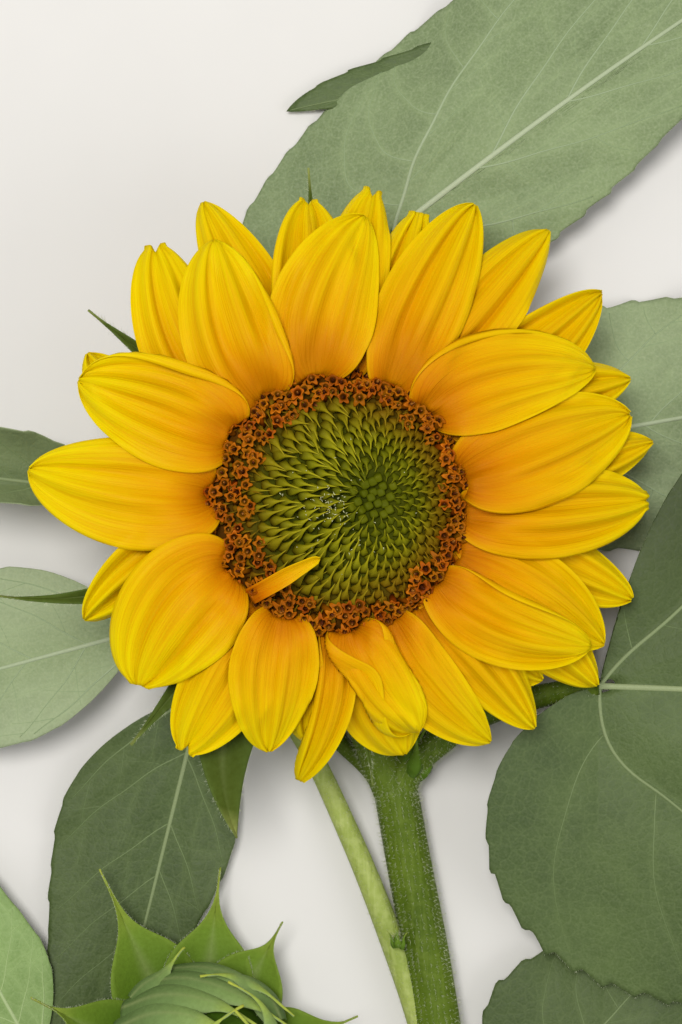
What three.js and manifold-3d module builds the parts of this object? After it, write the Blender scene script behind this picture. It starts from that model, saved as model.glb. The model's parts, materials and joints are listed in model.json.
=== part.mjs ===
// The flowering top of a sunflower plant, cut through its stem and laid on its back: one open
// bloom of 36 ray florets round a disc, its bracts, neck and stem, nine leaves on their stalks,
// a side shoot with a flower bud, and a small bud in the fork of the stem.
//
// Millimetres. It lies on the plane z = 0 and the bloom faces +Z. +Y runs from the cut end of
// the stem to the bloom. The pieces are laid out round the bloom's centre, at x = y = 0, and the
// whole is then moved so that the origin is at the middle of its underside.

import * as THREE from "three";
import { mergeVertices } from "three/addons/utils/BufferGeometryUtils.js";
import Module from "manifold-3d";

const wasm = await Module();
wasm.setup();

// Driving dimensions
const GAP = 0.3; // between pieces that touch
const DISC_RADIUS = 31.5;
const BLOOM_HEIGHT = 48; // of the disc's rim plane at its centre
const BLOOM_LEAN = 10; // degrees that the bloom's axis leans to +X
const SEAT_HEIGHT = -1; // of the receptacle's flat rim, in the bloom's frame
const RECEPTACLE_DEPTH = 18.5;
const DISC_FLORETS = 88;
const INNER_BRACTS = 11;
const BRACT_THICKNESS = 0.9;
const RAY_THICKNESS = 0.65;
const RAY_ROOT_RADII = { front: DISC_RADIUS + 0.6, back: DISC_RADIUS + 1.8 };
const LEAF_THICKNESS = 1.1; // or LEAF_THICKNESS_SHARE of the length, where that is more
const LEAF_THICKNESS_SHARE = 0.0105;
const BUD_RADIUS = 21;

const GOLDEN_ANGLE = Math.PI * (3 - Math.sqrt(5));
const COLOURS = {
  petal: 0xf2c200, disc: 0x5d5a14, bract: 0x55702f, leaf: 0x4a6437, underside: 0x8ea885, stem: 0x5c7326,
};

const radians = THREE.MathUtils.degToRad;
const mix = THREE.MathUtils.lerp;
const smooth = THREE.MathUtils.smoothstep;
const vector = (x, y, z) => new THREE.Vector3(x, y, z);
const polar = (angle, radius, height) =>
  vector(radius * Math.cos(angle), radius * Math.sin(angle), height);

// Geometry helpers

/** The geometry as a solid that can be joined and cut. */
function solidOf(geometry) {
  const bare = geometry.index ? geometry.toNonIndexed() : geometry.clone();
  bare.deleteAttribute("normal");
  bare.deleteAttribute("uv");
  const merged = mergeVertices(bare, 1e-3);
  return new wasm.Manifold(
    new wasm.Mesh({
      numProp: 3,
      vertProperties: merged.attributes.position.array,
      triVerts: new Uint32Array(merged.index.array),
    }),
  );
}

/** The largest body of the solid, as a geometry. */
function geometryOf(solid) {
  const bodies = solid.decompose().sort((a, b) => b.volume() - a.volume());
  const mesh = bodies[0].getMesh();
  const geometry = new THREE.BufferGeometry();
  geometry.setAttribute("position", new THREE.BufferAttribute(mesh.vertProperties, 3));
  geometry.setIndex(new THREE.BufferAttribute(mesh.triVerts, 1));
  geometry.computeVertexNormals();
  return geometry;
}

const joined = (geometries) =>
  geometryOf(wasm.Manifold.union(geometries.map(solidOf)));

const cutClear = (geometry, cutters) =>
  geometryOf(solidOf(geometry).subtract(wasm.Manifold.union(cutters.map(solidOf))));

/** A thin closed blade. surface(u, v) is its middle, with u from 0 to 1 and v from -1 to 1. */
function blade(along, across, thickness, surface) {
  const geometry = new THREE.BoxGeometry(1, 1, 1, along, across, 1);
  const position = geometry.attributes.position;
  const step = 1e-3;
  for (let i = 0; i < position.count; i++) {
    const u = position.getX(i) + 0.5;
    const v = 2 * position.getY(i);
    const du = surface(Math.min(u + step, 1), v).sub(surface(Math.max(u - step, 0), v));
    const dv = surface(u, Math.min(v + step, 1)).sub(surface(u, Math.max(v - step, -1)));
    const normal = du.cross(dv).normalize();
    const point = surface(u, v).addScaledVector(normal, thickness * position.getZ(i));
    position.setXYZ(i, point.x, point.y, point.z);
  }
  return geometry;
}

/** A round limb through the given points, which tapers from one radius to the other. */
function limb({ through, from, to, sides = 7, steps = 7, grown = 0 }) {
  const curve = new THREE.CatmullRomCurve3(through.map((p) => vector(...p)));
  const frames = curve.computeFrenetFrames(steps);
  const geometry = new THREE.CylinderGeometry(1, 1, 1, sides, steps);
  const position = geometry.attributes.position;
  for (let i = 0; i < position.count; i++) {
    const share = position.getY(i) + 0.5;
    const ring = Math.round(share * steps);
    const radius = mix(from, to, share) + grown;
    const point = curve
      .getPointAt(share)
      .addScaledVector(frames.normals[ring], -radius * position.getX(i))
      .addScaledVector(frames.binormals[ring], radius * position.getZ(i));
    position.setXYZ(i, point.x, point.y, point.z);
  }
  return geometry;
}

// Ray florets

// Each ray floret: the angle and distance of its tip, the angle of its root, its width and its
// whorl. lift raises its back, cup hollows its root, roll tilts it to one side, and drop lowers
// its tip. They are in the order in which they lie on each other, lowest first.
const BACK = { ring: "back", lift: 4, cup: 1.2, roll: 0, drop: 5 };
const MIDDLE = { ring: "back", lift: 6, cup: 1.8, roll: 0, drop: 4 };
const FRONT = { ring: "front", lift: 8, cup: 2.8, roll: 0, drop: 3 };
const RAYS = [
  { ...BACK, tip: 11, reach: 83, root: 5, width: 19 },
  { ...BACK, tip: 23, reach: 82, root: 26, width: 20 },
  { ...BACK, tip: 38.5, reach: 87, root: 38, width: 21, drop: 6 },
  { ...BACK, tip: 75, reach: 76, root: 75, width: 16, drop: 2 },
  { ...BACK, tip: 84, reach: 80, root: 86, width: 17 },
  { ...BACK, tip: 115, reach: 83, root: 112, width: 19 },
  { ...BACK, tip: 126, reach: 80, root: 137, width: 22, drop: 7 },
  { ...BACK, tip: 150, reach: 74, root: 160, width: 20 },
  { ...BACK, tip: 204, reach: 71, root: 193, width: 18, roll: -2 },
  { ...BACK, tip: 225, reach: 62, root: 222, width: 18 },
  { ...BACK, tip: 262, reach: 61, root: 258, width: 17 },
  { ...BACK, tip: 284.5, reach: 66, root: 284, width: 26, drop: 7 },
  { ...BACK, tip: 300, reach: 71, root: 303, width: 17 },
  { ...BACK, tip: 319, reach: 69, root: 317, width: 17 },
  { ...BACK, tip: 325, reach: 82, root: 329, width: 20, drop: 7 },
  { ...BACK, tip: 342, reach: 80, root: 345, width: 20, drop: 6 },
  { ...MIDDLE, tip: 52.5, reach: 88, root: 57, width: 21 },
  { ...MIDDLE, tip: 96.5, reach: 77, root: 96, width: 21 },
  { ...MIDDLE, tip: 237.3, reach: 74, root: 234, width: 22 },
  { ...MIDDLE, tip: 261.7, reach: 71, root: 266, width: 11, roll: 3, drop: 9 },
  { ...MIDDLE, tip: 311, reach: 76, root: 310, width: 18 },
  { ...MIDDLE, tip: 332, reach: 77, root: 336, width: 22 },
  { ...FRONT, tip: 66, reach: 83, root: 66, width: 23 },
  { ...FRONT, tip: 0.5, reach: 80, root: -5, width: 23 },
  { ...FRONT, tip: 17, reach: 78, root: 12, width: 28 },
  { ...FRONT, tip: 174, reach: 79, root: 177, width: 28 },
  { ...FRONT, tip: 302, reach: 71.5, root: 294, width: 18 },
  { ...FRONT, tip: 330, reach: 73, root: 321.5, width: 21 },
  { ...FRONT, tip: 28, reach: 73, root: 45, width: 27 },
  { ...FRONT, tip: 86, reach: 72, root: 101, width: 27 },
  { ...FRONT, tip: 117, reach: 73, root: 126, width: 27 },
  { ...FRONT, tip: 155.5, reach: 73, root: 149, width: 30 },
  { ...FRONT, tip: 221.5, reach: 68.5, root: 211, width: 30 },
  { ...FRONT, tip: 253, reach: 65, root: 242.5, width: 22.5 },
  { ...FRONT, tip: 287, reach: 60, root: 274, width: 26 },
];
const RAY_ALONG = 7;
const RAY_ACROSS = 4;
const CLAW_WIDTHS = { front: 8, back: 5.5 };
const TIP_WIDTH = 1.4;
const TIP_SHIFT = 2.2; // how far the tips lie towards +X of their circles

/** A ray floret's width at u, as a share of its greatest width. */
const rayWidth = (u) => 1.9 * Math.pow(u + 0.02, 0.42) * Math.pow(1 - u, 0.58);

/** A ray floret's middle surface as it would lie with nothing under it. */
function freeRay({ tip, reach, root, width, ring, lift, cup, roll, drop }) {
  const rootRadius = RAY_ROOT_RADII[ring];
  const rootAngle = radians(root);
  const start = polar(rootAngle, rootRadius, 0);
  const bend = polar(rootAngle, rootRadius + 0.4 * (reach - rootRadius), 0);
  const end = polar(radians(tip), reach, 0).add(vector(TIP_SHIFT, 0, 0));
  const line = new THREE.QuadraticBezierCurve3(start, bend, end);
  const seat = SEAT_HEIGHT + GAP + RAY_THICKNESS / 2;
  return (u, v) => {
    const along = line.getTangent(u);
    const side = vector(-along.y, along.x, 0).normalize();
    const least = u < 0.5 ? CLAW_WIDTHS[ring] : TIP_WIDTH;
    const half = Math.max(least, width * rayWidth(u)) / 2;
    const hollow = mix(cup, -0.16 * half, smooth(u, 0.05, 0.45));
    const arch = lift * Math.sin(Math.PI * Math.pow(u, 0.75)) - drop * u * u * u;
    const point = line.getPoint(u).addScaledVector(side, half * v);
    point.z = seat + arch + hollow * v * v + roll * v * smooth(u, 0.1, 0.6);
    return point;
  };
}

// How the ray florets lie on each other
const RAY_CLEARANCE = RAY_THICKNESS + 0.25;
const HEAP_CELL = 0.8;
const HEAP_SAMPLES = 90;
const EASING_ROUNDS = 10;
const EASING_SHARE = 0.9;

/** The heights that the pieces laid so far reach, on a square grid in plan. */
class Heap {
  tops = new Map();

  key(x, y) {
    return `${Math.round(x / HEAP_CELL)},${Math.round(y / HEAP_CELL)}`;
  }

  /** The greatest height within one cell of x, y. */
  topNear(x, y) {
    let top = -Infinity;
    for (const dx of [-1, 0, 1])
      for (const dy of [-1, 0, 1]) {
        const found = this.tops.get(this.key(x + dx * HEAP_CELL, y + dy * HEAP_CELL));
        top = Math.max(top, found ?? -Infinity);
      }
    return top;
  }

  add(point) {
    const key = this.key(point.x, point.y);
    this.tops.set(key, Math.max(this.tops.get(key) ?? -Infinity, point.z));
  }
}

/** The surface through a grid of points. */
function surfaceThrough(points) {
  return (u, v) => {
    const x = Math.min(u * RAY_ALONG, RAY_ALONG - 1e-6);
    const y = Math.min(((v + 1) / 2) * RAY_ACROSS, RAY_ACROSS - 1e-6);
    const [i, j] = [Math.floor(x), Math.floor(y)];
    const near = points[i][j].clone().lerp(points[i][j + 1], y - j);
    const far = points[i + 1][j].clone().lerp(points[i + 1][j + 1], y - j);
    return near.lerp(far, x - i);
  };
}

/** How far each point of a grid must rise for its surface to clear the heap. */
function risesOver(heap, surface) {
  const rises = Array.from({ length: RAY_ALONG + 1 }, () => Array(RAY_ACROSS + 1).fill(0));
  const finer = 5;
  for (let a = 0; a <= RAY_ALONG * finer; a++)
    for (let b = 0; b <= RAY_ACROSS * finer; b++) {
      const [x, y] = [a / finer, b / finer];
      const point = surface(x / RAY_ALONG, (2 * y) / RAY_ACROSS - 1);
      const rise = heap.topNear(point.x, point.y) + RAY_CLEARANCE - point.z;
      for (const i of [Math.floor(x), Math.ceil(x)])
        for (const j of [Math.floor(y), Math.ceil(y)]) rises[i][j] = Math.max(rises[i][j], rise);
    }
  return rises;
}

/** Eases the rises so that neighbours differ little, without lowering any. */
function eased(rises) {
  let now = rises;
  for (let round = 0; round < EASING_ROUNDS; round++)
    now = now.map((row, i) =>
      row.map((own, j) => {
        const around = [now[i - 1]?.[j], now[i + 1]?.[j], row[j - 1], row[j + 1]];
        const near = around.filter((value) => value !== undefined);
        const mean = near.reduce((sum, value) => sum + value, 0) / near.length;
        return i === 0 ? own : Math.max(own, EASING_SHARE * mean);
      }));
  return now;
}

/** Lays a ray floret on what is in the heap, adds it there, and gives its settled surface. */
function settledRay(ray, heap) {
  const free = freeRay(ray);
  const points = Array.from({ length: RAY_ALONG + 1 }, (_, i) =>
    Array.from({ length: RAY_ACROSS + 1 }, (_, j) =>
      free(i / RAY_ALONG, (2 * j) / RAY_ACROSS - 1)));
  const rises = eased(risesOver(heap, surfaceThrough(points)));
  points.forEach((row, i) => row.forEach((point, j) => (point.z += rises[i][j])));
  const surface = surfaceThrough(points);
  for (let i = 0; i <= HEAP_SAMPLES; i++)
    for (let j = 0; j <= HEAP_SAMPLES; j++)
      heap.add(surface(i / HEAP_SAMPLES, (2 * j) / HEAP_SAMPLES - 1));
  return surface;
}

/** One small ray floret that bends in over the disc. */
function strayRay() {
  const line = new THREE.QuadraticBezierCurve3(
    polar(radians(225.3), DISC_RADIUS + 1, 4.9),
    polar(radians(229), 24, 15),
    polar(radians(243.4), 15.2, 12.5),
  );
  return blade(6, 2, RAY_THICKNESS, (u, v) => {
    const along = line.getTangent(u);
    const side = vector(-along.y, along.x, 0).normalize();
    const half = mix(2.4, 1.3, u ** 3);
    const point = line.getPoint(u).addScaledVector(side, half * v);
    point.z += 0.8 * v * v;
    return point;
  });
}

// Disc, receptacle and bracts

/** The height of the disc's face at a distance from its middle. */
function discHeight(radius) {
  const share = radius / DISC_RADIUS;
  return 2.6 + 3.4 * Math.sin(Math.PI * Math.min(1, 0.22 + 0.68 * share ** 1.6));
}

/** A domed disc with a coarse spiral of florets: open ones at the rim and buds inside. */
function disc() {
  const rimShare = 0.79;
  const profile = [new THREE.Vector2(0, SEAT_HEIGHT + GAP)];
  profile.push(new THREE.Vector2(DISC_RADIUS, SEAT_HEIGHT + GAP));
  for (let i = 0; i <= 5; i++) {
    const radius = DISC_RADIUS * (1 - i / 5);
    profile.push(new THREE.Vector2(radius, discHeight(radius)));
  }
  const pieces = [new THREE.LatheGeometry(profile, 24).rotateX(Math.PI / 2)];
  for (let n = 0; n < DISC_FLORETS; n++) {
    const share = Math.sqrt((n + 0.5) / DISC_FLORETS);
    const radius = share * (DISC_RADIUS - 1.8);
    const open = share > rimShare;
    const size = open ? 2.3 : mix(1.7, 2.3, share);
    const height = open ? 2.6 : 4;
    const floret = new THREE.CylinderGeometry(open ? 0.75 * size : 0.2, size, height, open ? 4 : 3);
    floret.rotateX(Math.PI / 2);
    floret.rotateZ(n * GOLDEN_ANGLE);
    floret.translate(0, 0, 0.32 * height);
    const inward = open ? 0.1 : 0.42;
    floret.rotateY(-inward);
    floret.translate(radius, 0, discHeight(radius));
    floret.rotateZ(n * GOLDEN_ANGLE);
    pieces.push(floret);
  }
  return joined(pieces);
}

/** A bract's width at u, as a share of its widest: broad below, drawn out to a point. */
const bractWidth = (u, taper) => Math.pow(1 - u, taper) * (1 + 1.25 * u);

/** A pointed bract that follows a line in the plane of its own angle. */
function bract({ angle, line, width, taper = 1.35, turn = 0, hollow = 2 }) {
  const curve = new THREE.QuadraticBezierCurve(...line.map((p) => new THREE.Vector2(...p)));
  return blade(4, 2, BRACT_THICKNESS, (u, v) => {
    const at = curve.getPoint(u);
    const half = Math.max((width / 2) * bractWidth(u, taper), 0.45);
    const heading = angle + turn * u * u;
    const point = polar(heading, at.x, at.y + hollow * v * v * (1 - u));
    point.x -= Math.sin(heading) * half * v;
    point.y += Math.cos(heading) * half * v;
    return point;
  });
}

// The bracts that show past the ray florets: tip angle, reach, width and the tip's height. swing
// is how many degrees a bract turns on its way out.
const SHOWN_BRACTS = [
  { tip: 254.4, reach: 88, width: 18, height: -12, taper: 0.7, swing: 16 },
  { tip: 230, reach: 79, width: 12, height: -9 },
  { tip: 195, reach: 88, width: 9, height: -9, swing: -10 },
  { tip: 142, reach: 78, width: 9, height: -8 },
  { tip: 94, reach: 85, width: 9, height: -8 },
  { tip: 279, reach: 73, width: 8, height: -12 },
];

/** The receptacle, a shallow cup behind the disc, with its rows of bracts. */
function receptacle() {
  const outline = [
    [0, SEAT_HEIGHT],
    [35.5, SEAT_HEIGHT],
    [36, SEAT_HEIGHT - 2.5],
    [31, SEAT_HEIGHT - 8],
    [21, SEAT_HEIGHT - 13],
    [11, SEAT_HEIGHT - 16],
    [7.5, -RECEPTACLE_DEPTH],
    [0, -RECEPTACLE_DEPTH],
  ].reverse();
  const cup = new THREE.LatheGeometry(outline.map((p) => new THREE.Vector2(...p)), 24);
  const pieces = [cup.rotateX(Math.PI / 2)];
  for (const { tip, reach, width, height, taper, swing = 0 } of SHOWN_BRACTS)
    pieces.push(bract({
      angle: radians(tip - swing),
      turn: radians(swing),
      line: [[27, -8], [reach * 0.62, -9], [reach, height]],
      width,
      taper,
    }));
  for (let n = 0; n < INNER_BRACTS; n++) {
    const reach = 58 + 7 * Math.sin(2.4 * n);
    pieces.push(bract({
      angle: radians(8 + (n * 360) / INNER_BRACTS),
      line: [[24, -10.5], [reach * 0.62, -14], [reach, -17 - 2 * Math.cos(3.1 * n)]],
      width: 14,
    }));
  }
  return joined(pieces);
}

// Leaves

// A leaf's outline, as distances from the stalk's end at equal steps of angle, from the tip to
// the lobe behind, in shares of its length.
const LEAF_SHAPE = [1, 0.66, 0.52, 0.44, 0.37, 0.28, 0.16, 0.03];
const LEAF_HALF_WIDTH = 0.416; // the greatest of that outline, as a share of the length
const LEAF_TEETH = 0.03;
const leafShape = new THREE.SplineCurve(
  LEAF_SHAPE.map((reach, n) => new THREE.Vector2(n / (LEAF_SHAPE.length - 1), reach)),
);

/** A height along the midrib, through those at the stalk, at 0.45 of the length and at the tip. */
function midribHeight(share, [foot, middle, tip]) {
  const at = 0.45;
  return (
    foot * (1 - share) * (1 - share / at) +
    (middle * share * (1 - share)) / (at * (1 - at)) +
    (tip * share * (share - at)) / (1 - at)
  );
}

/**
 * A heart-shaped, toothed leaf blade. For its two sides, right and left of the midrib as seen
 * from above, wide is the half width in mm, back is how far round the lobe behind the stalk's
 * end reaches, full fills out the lobe, and sag lowers the margin. lobe raises what lies
 * behind the stalk's end.
 */
function leafBlade(leaf) {
  const { base, heading, length, wide, heights, bend = 0, around = 16 } = leaf;
  const { back = [166, 166], full = [1, 1], sag = [4, 4], lobe = 0 } = leaf;
  const thickness = Math.max(LEAF_THICKNESS, LEAF_THICKNESS_SHARE * length);
  const surface = (u, v) => {
    const side = v < 0 ? 0 : 1;
    const turn = Math.abs(v);
    const tooth = 1 + LEAF_TEETH * Math.cos(Math.PI * around * (v + 1) * 0.5) * u;
    const out = mix(0.02, 1, u) * leafShape.getPoint(Math.pow(turn, full[side])).y * tooth;
    const angle = radians(back[side] * turn);
    const s = out * Math.cos(angle);
    const share = (out * Math.sin(angle)) / LEAF_HALF_WIDTH;
    const w = wide[side] * share * (side ? 1 : -1);
    const height = midribHeight(s, heights) - sag[side] * share * share + lobe * Math.max(-s, 0);
    const direction = radians(heading + bend * s);
    return vector(
      base[0] + s * length * Math.cos(direction) - w * Math.sin(direction),
      base[1] + s * length * Math.sin(direction) + w * Math.cos(direction),
      Math.max(height, thickness / 2 + 0.1),
    );
  };
  return blade(around > 16 ? 3 : 2, around, thickness, surface);
}

// Each leaf: where its stalk meets it, the heading of its midrib and how far that turns on the
// way to the tip, in degrees, its length and its heights, and the stalk's way from its limb.
const LEAVES = {
  upper_leaf: {
    base: [15, 72, 12], heading: 38, bend: -4, length: 195, wide: [31, 33],
    heights: [12, 16, 2], sag: [3, 6], full: [0.72, 1.6], around: 26, under: true,
    stalk: {
      through: [[9, -62, 7], [17, -34, 7.5], [20, 0, 8.5], [18, 42, 10], [15, 72, 12]],
      from: 3.4, to: 2.3,
    },
  },
  right_leaf: {
    base: [69, -48, 17], heading: -1, bend: -4, length: 205, wide: [84, 84],
    heights: [17, 24, 2], sag: [10, 8], back: [166, 80], full: [1, 3], lobe: 60,
    around: 26,
    stalk: {
      through: [[30, -60.5, 12], [38, -56, 11.5], [54, -51, 11.5], [69, -48, 16.2]],
      from: 3.9, to: 2.6,
    },
  },
  left_leaf: {
    base: [-50, -33, 15], heading: 195, length: 114, wide: [42, 39],
    heights: [15, 18, 1.5], sag: [4, 4], back: [60, 50], full: [1.6, 1.6], around: 26, under: true,
    stalk: { through: [[-1, -34, 9], [-14, -32, 12], [-50, -33, 15]], from: 3, to: 2.2 },
  },
  drooping_leaf: {
    base: [-36, -50, 7], heading: 256, length: 128, wide: [48, 36],
    heights: [7, 3.6, 0.7], sag: [1.5, 1.5], back: [60, 60], full: [1.6, 1],
    stalk: {
      through: [[17, -123, 7], [4, -90, 7.5], [-11, -60, 8.5], [-23, -48, 8], [-36, -50, 7]],
      from: 3.6, to: 2.2,
    },
  },
  right_upper_leaf: {
    base: [64, 18, 6], heading: 10, length: 125, wide: [33, 33],
    heights: [6, 6, 1.4], sag: [2.5, 2.5], under: true,
    stalk: {
      through: [[13, -64, 3.4], [36, -36, 3.2], [53, -8, 3.4], [64, 18, 6]],
      from: 2.8, to: 1.9,
    },
  },
  top_leaf: {
    base: [60, 112, 3.2], heading: 176, bend: 9, length: 74, wide: [15, 5],
    heights: [3.2, 3.2, 2], sag: [0.8, 0.8],
    stalk: {
      through: [
        [9, -72, 3.4], [-4, -58, 2.8], [-9, -34, 2.6], [-7, 0, 2.6], [8, 44, 2.6], [38, 92, 2.8],
        [60, 112, 3.2],
      ],
      from: 2.4, to: 1.7,
    },
  },
  lower_right_leaf: {
    base: [58, -158, 6], heading: 2, length: 128, wide: [40, 42],
    heights: [6, 6, 1.4], sag: [2.5, 2.5],
    stalk: { through: [[30, -168, 6], [42, -161, 6], [58, -158, 6]], from: 3.2, to: 2.2 },
  },
  lower_left_leaf: {
    base: [-80, -149, 5], heading: 118, length: 80, wide: [28, 24],
    heights: [5, 8, 1.4], sag: [2, 2], back: [55, 70], full: [1.6, 1.3],
    stalk: {
      through: [[2, -178, 6], [-26, -182, 5], [-62, -176, 5], [-80, -149, 5]],
      from: 2.6, to: 1.8,
    },
  },
  outer_left_leaf: {
    base: [-76, 5, 26], heading: 173, length: 58, wide: [13, 6],
    heights: [26, 27, 18], sag: [-6, -5],
    stalk: {
      through: [[-2, -22, 12], [-24, -13, 17], [-50, -4, 22], [-76, 5, 26]],
      from: 2.4, to: 1.5,
    },
  },
};

// Stem, neck and side shoot

const STEM = {
  through: [[34, -198, 6.8], [29.5, -160, 6.7], [24, -122, 6.5], [19.5, -98, 6.4], [15.5, -76, 6.8]],
  from: 6.7, to: 5.9, sides: 12, steps: 8,
};
const FORK_ARMS = [
  { through: [[15.5, -78, 6.8], [11, -68, 7.4], [7, -58, 8.4]], from: 5.4, to: 4.6, sides: 10, steps: 3 },
  { through: [[15.5, -78, 6.8], [20, -69, 9], [30, -60.5, 12]], from: 5, to: 3.9, sides: 10, steps: 3 },
];
const SIDE_SHOOT = {
  through: [
    [32, -184, 6.6], [8, -182, 6.5], [-14, -177, 6.4], [-30, -171, 6.6], [-37, -163, 8],
    [-37.7, -155, 10.5],
  ],
  from: 4.4, to: 3.6, sides: 8, steps: 9,
};

const bloom = new THREE.Group();
bloom.rotation.y = radians(BLOOM_LEAN);
bloom.position.z = BLOOM_HEIGHT;
bloom.updateMatrixWorld(true);

/** A point given in the bloom's frame, in the frame of the whole plant. */
const inBloom = (x, y, z) => bloom.localToWorld(vector(x, y, z)).toArray();

// The neck carries the bloom: it bends up from the fork to the receptacle's back.
const NECK = {
  through: [
    [6.85, -57.7, 8.43], [3, -46, 9.6], [-1, -28, 12.5], [-4, -10, 18],
    inBloom(0, 0, -RECEPTACLE_DEPTH - 5), inBloom(0, 0, -RECEPTACLE_DEPTH - GAP),
  ],
  from: 4.6, to: 6.2, sides: 10, steps: 10,
};
const FORK_BUD = {
  through: [[19, -72, 9], [23, -63, 11.5], [26, -55, 14]],
  from: 2.8, to: 0.7, steps: 4,
};

// Buds

/** The bud's round core, a little flattened along its axis. */
function budCore(grown = 0) {
  const core = new THREE.SphereGeometry(BUD_RADIUS, 10, 6).rotateX(Math.PI / 2);
  return core.scale(1 + grown / BUD_RADIUS, 1 + grown / BUD_RADIUS, 0.8 + grown / BUD_RADIUS);
}

// The bud's outer bracts: tip angle, reach, width and the tip's height.
const OUTER_BUD_BRACTS = [
  { tip: 117, reach: 56, width: 26, height: 12 },
  { tip: 82.5, reach: 50, width: 26, height: 12 },
  { tip: 57, reach: 41.5, width: 22, height: 10 },
  { tip: 12, reach: 42, width: 22, height: 10 },
  { tip: 328, reach: 40, width: 20, height: 9 },
  { tip: 288, reach: 38, width: 20, height: 9 },
  { tip: 246, reach: 40, width: 20, height: 9 },
  { tip: 203, reach: 42, width: 20, height: 10 },
  { tip: 160, reach: 46, width: 22, height: 10 },
];
const INNER_BUD_BRACTS = 6;

/** A closed flower bud: a round core wrapped in pointed bracts. */
function bud() {
  const radius = BUD_RADIUS;
  const pieces = [budCore()];
  for (const { tip, reach, width, height } of OUTER_BUD_BRACTS)
    pieces.push(bract({
      angle: radians(tip),
      line: [[radius * 0.72, -radius * 0.3], [radius * 1.5, radius * 0.1], [reach, height]],
      width,
      taper: 1.6,
    }));
  for (let n = 0; n < INNER_BUD_BRACTS; n++)
    pieces.push(bract({
      angle: (n * 2 * Math.PI) / INNER_BUD_BRACTS,
      line: [[radius * 0.8, radius * 0.1], [radius * 1.25, radius], [radius * 0.3, radius * 1.15]],
      width: radius * 0.62,
      turn: 0.3,
      hollow: 0.6,
    }));
  return joined(pieces);
}

// Assembly

const plant = new THREE.Group();

/** Adds a named mesh to a group, in a plain dull material. */
function add(group, name, geometry, color) {
  const material = new THREE.MeshStandardMaterial({ color, roughness: 0.6, metalness: 0 });
  const mesh = new THREE.Mesh(geometry, material);
  mesh.name = name;
  group.add(mesh);
  return mesh;
}

/** The same limb, a gap's width larger all round, to cut its neighbours clear of it. */
const clearanceOf = (spec) => limb({ ...spec, grown: GAP });

plant.add(bloom);
add(bloom, "disc", disc(), COLOURS.disc);
add(bloom, "receptacle_and_bracts", receptacle(), COLOURS.bract);
const heap = new Heap();
RAYS.forEach((ray, n) => {
  const geometry = blade(RAY_ALONG, RAY_ACROSS, RAY_THICKNESS, settledRay(ray, heap));
  add(bloom, `ray_${String(n + 1).padStart(2, "0")}`, geometry, COLOURS.petal);
});
add(bloom, "ray_stray", strayRay(), COLOURS.petal);

const stemPieces = [STEM, ...FORK_ARMS];
add(plant, "stem", joined([...stemPieces, FORK_BUD].map((spec) => limb(spec))), COLOURS.stem);
add(plant, "neck", limb(NECK), COLOURS.stem);

const sideBud = new THREE.Group();
sideBud.position.set(-36, -146, 24);
sideBud.lookAt(sideBud.position.clone().add(vector(0.1, 0.5, 0.86)));
sideBud.updateMatrix();
plant.add(sideBud);
add(sideBud, "side_bud", bud(), COLOURS.bract);
const budClearance = budCore(GAP).applyMatrix4(sideBud.matrix);
const shoot = cutClear(limb(SIDE_SHOOT), [clearanceOf(STEM), budClearance]);
add(plant, "side_shoot", shoot, COLOURS.stem);

const limbsCarryingLeaves = [...stemPieces, NECK, SIDE_SHOOT];
for (const [name, leaf] of Object.entries(LEAVES)) {
  const stalk = cutClear(limb(leaf.stalk), limbsCarryingLeaves.map(clearanceOf));
  add(plant, `${name}_stalk`, stalk, COLOURS.stem);
  const colour = leaf.under ? COLOURS.underside : COLOURS.leaf;
  add(plant, name, cutClear(leafBlade(leaf), [clearanceOf(leaf.stalk)]), colour);
}

const root = new THREE.Group();
root.add(plant);
const box = new THREE.Box3().setFromObject(plant, true);
const middle = box.getCenter(new THREE.Vector3());
plant.position.set(-middle.x, -middle.y, -box.min.z);

export default root;
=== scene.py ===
"""The looks of the cut top of a sunflower plant, laid on its back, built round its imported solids.

Lengths are in mm, in the frame in which the plant is laid out round its bloom's centre, and they
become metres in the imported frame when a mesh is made. The rules for the ray florets, the disc,
the bracts, the leaves and the limbs are those of the solids, carried to finer meshes.
"""

import json
import math

import bpy
import numpy as np
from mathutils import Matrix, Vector, kdtree


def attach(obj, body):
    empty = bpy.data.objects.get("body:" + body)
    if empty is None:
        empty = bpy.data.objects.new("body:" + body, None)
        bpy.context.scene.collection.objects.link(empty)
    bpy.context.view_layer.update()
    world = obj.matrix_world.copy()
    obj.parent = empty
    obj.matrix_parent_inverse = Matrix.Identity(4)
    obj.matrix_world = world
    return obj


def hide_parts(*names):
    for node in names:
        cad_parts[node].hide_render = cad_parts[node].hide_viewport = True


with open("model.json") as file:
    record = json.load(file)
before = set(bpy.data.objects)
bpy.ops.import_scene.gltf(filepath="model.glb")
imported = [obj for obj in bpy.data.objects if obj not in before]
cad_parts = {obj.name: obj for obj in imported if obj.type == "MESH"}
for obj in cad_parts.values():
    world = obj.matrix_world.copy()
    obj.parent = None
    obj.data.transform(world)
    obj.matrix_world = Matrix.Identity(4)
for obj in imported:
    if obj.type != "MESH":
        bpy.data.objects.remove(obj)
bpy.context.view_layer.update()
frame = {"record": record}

# Driving dimensions
MM = 0.001
DISC_RADIUS = 31.5
BLOOM_HEIGHT = 48
BLOOM_LEAN = math.radians(10)
SEAT_HEIGHT = -1
RECEPTACLE_DEPTH = 18.5
GAP = 0.3
PETAL_THICKNESS = 0.42
BRACT_THICKNESS = 0.5
LEAF_THICKNESS = 0.55
BUD_RADIUS = 21
GOLDEN_ANGLE = math.pi * (3 - math.sqrt(5))

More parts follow.
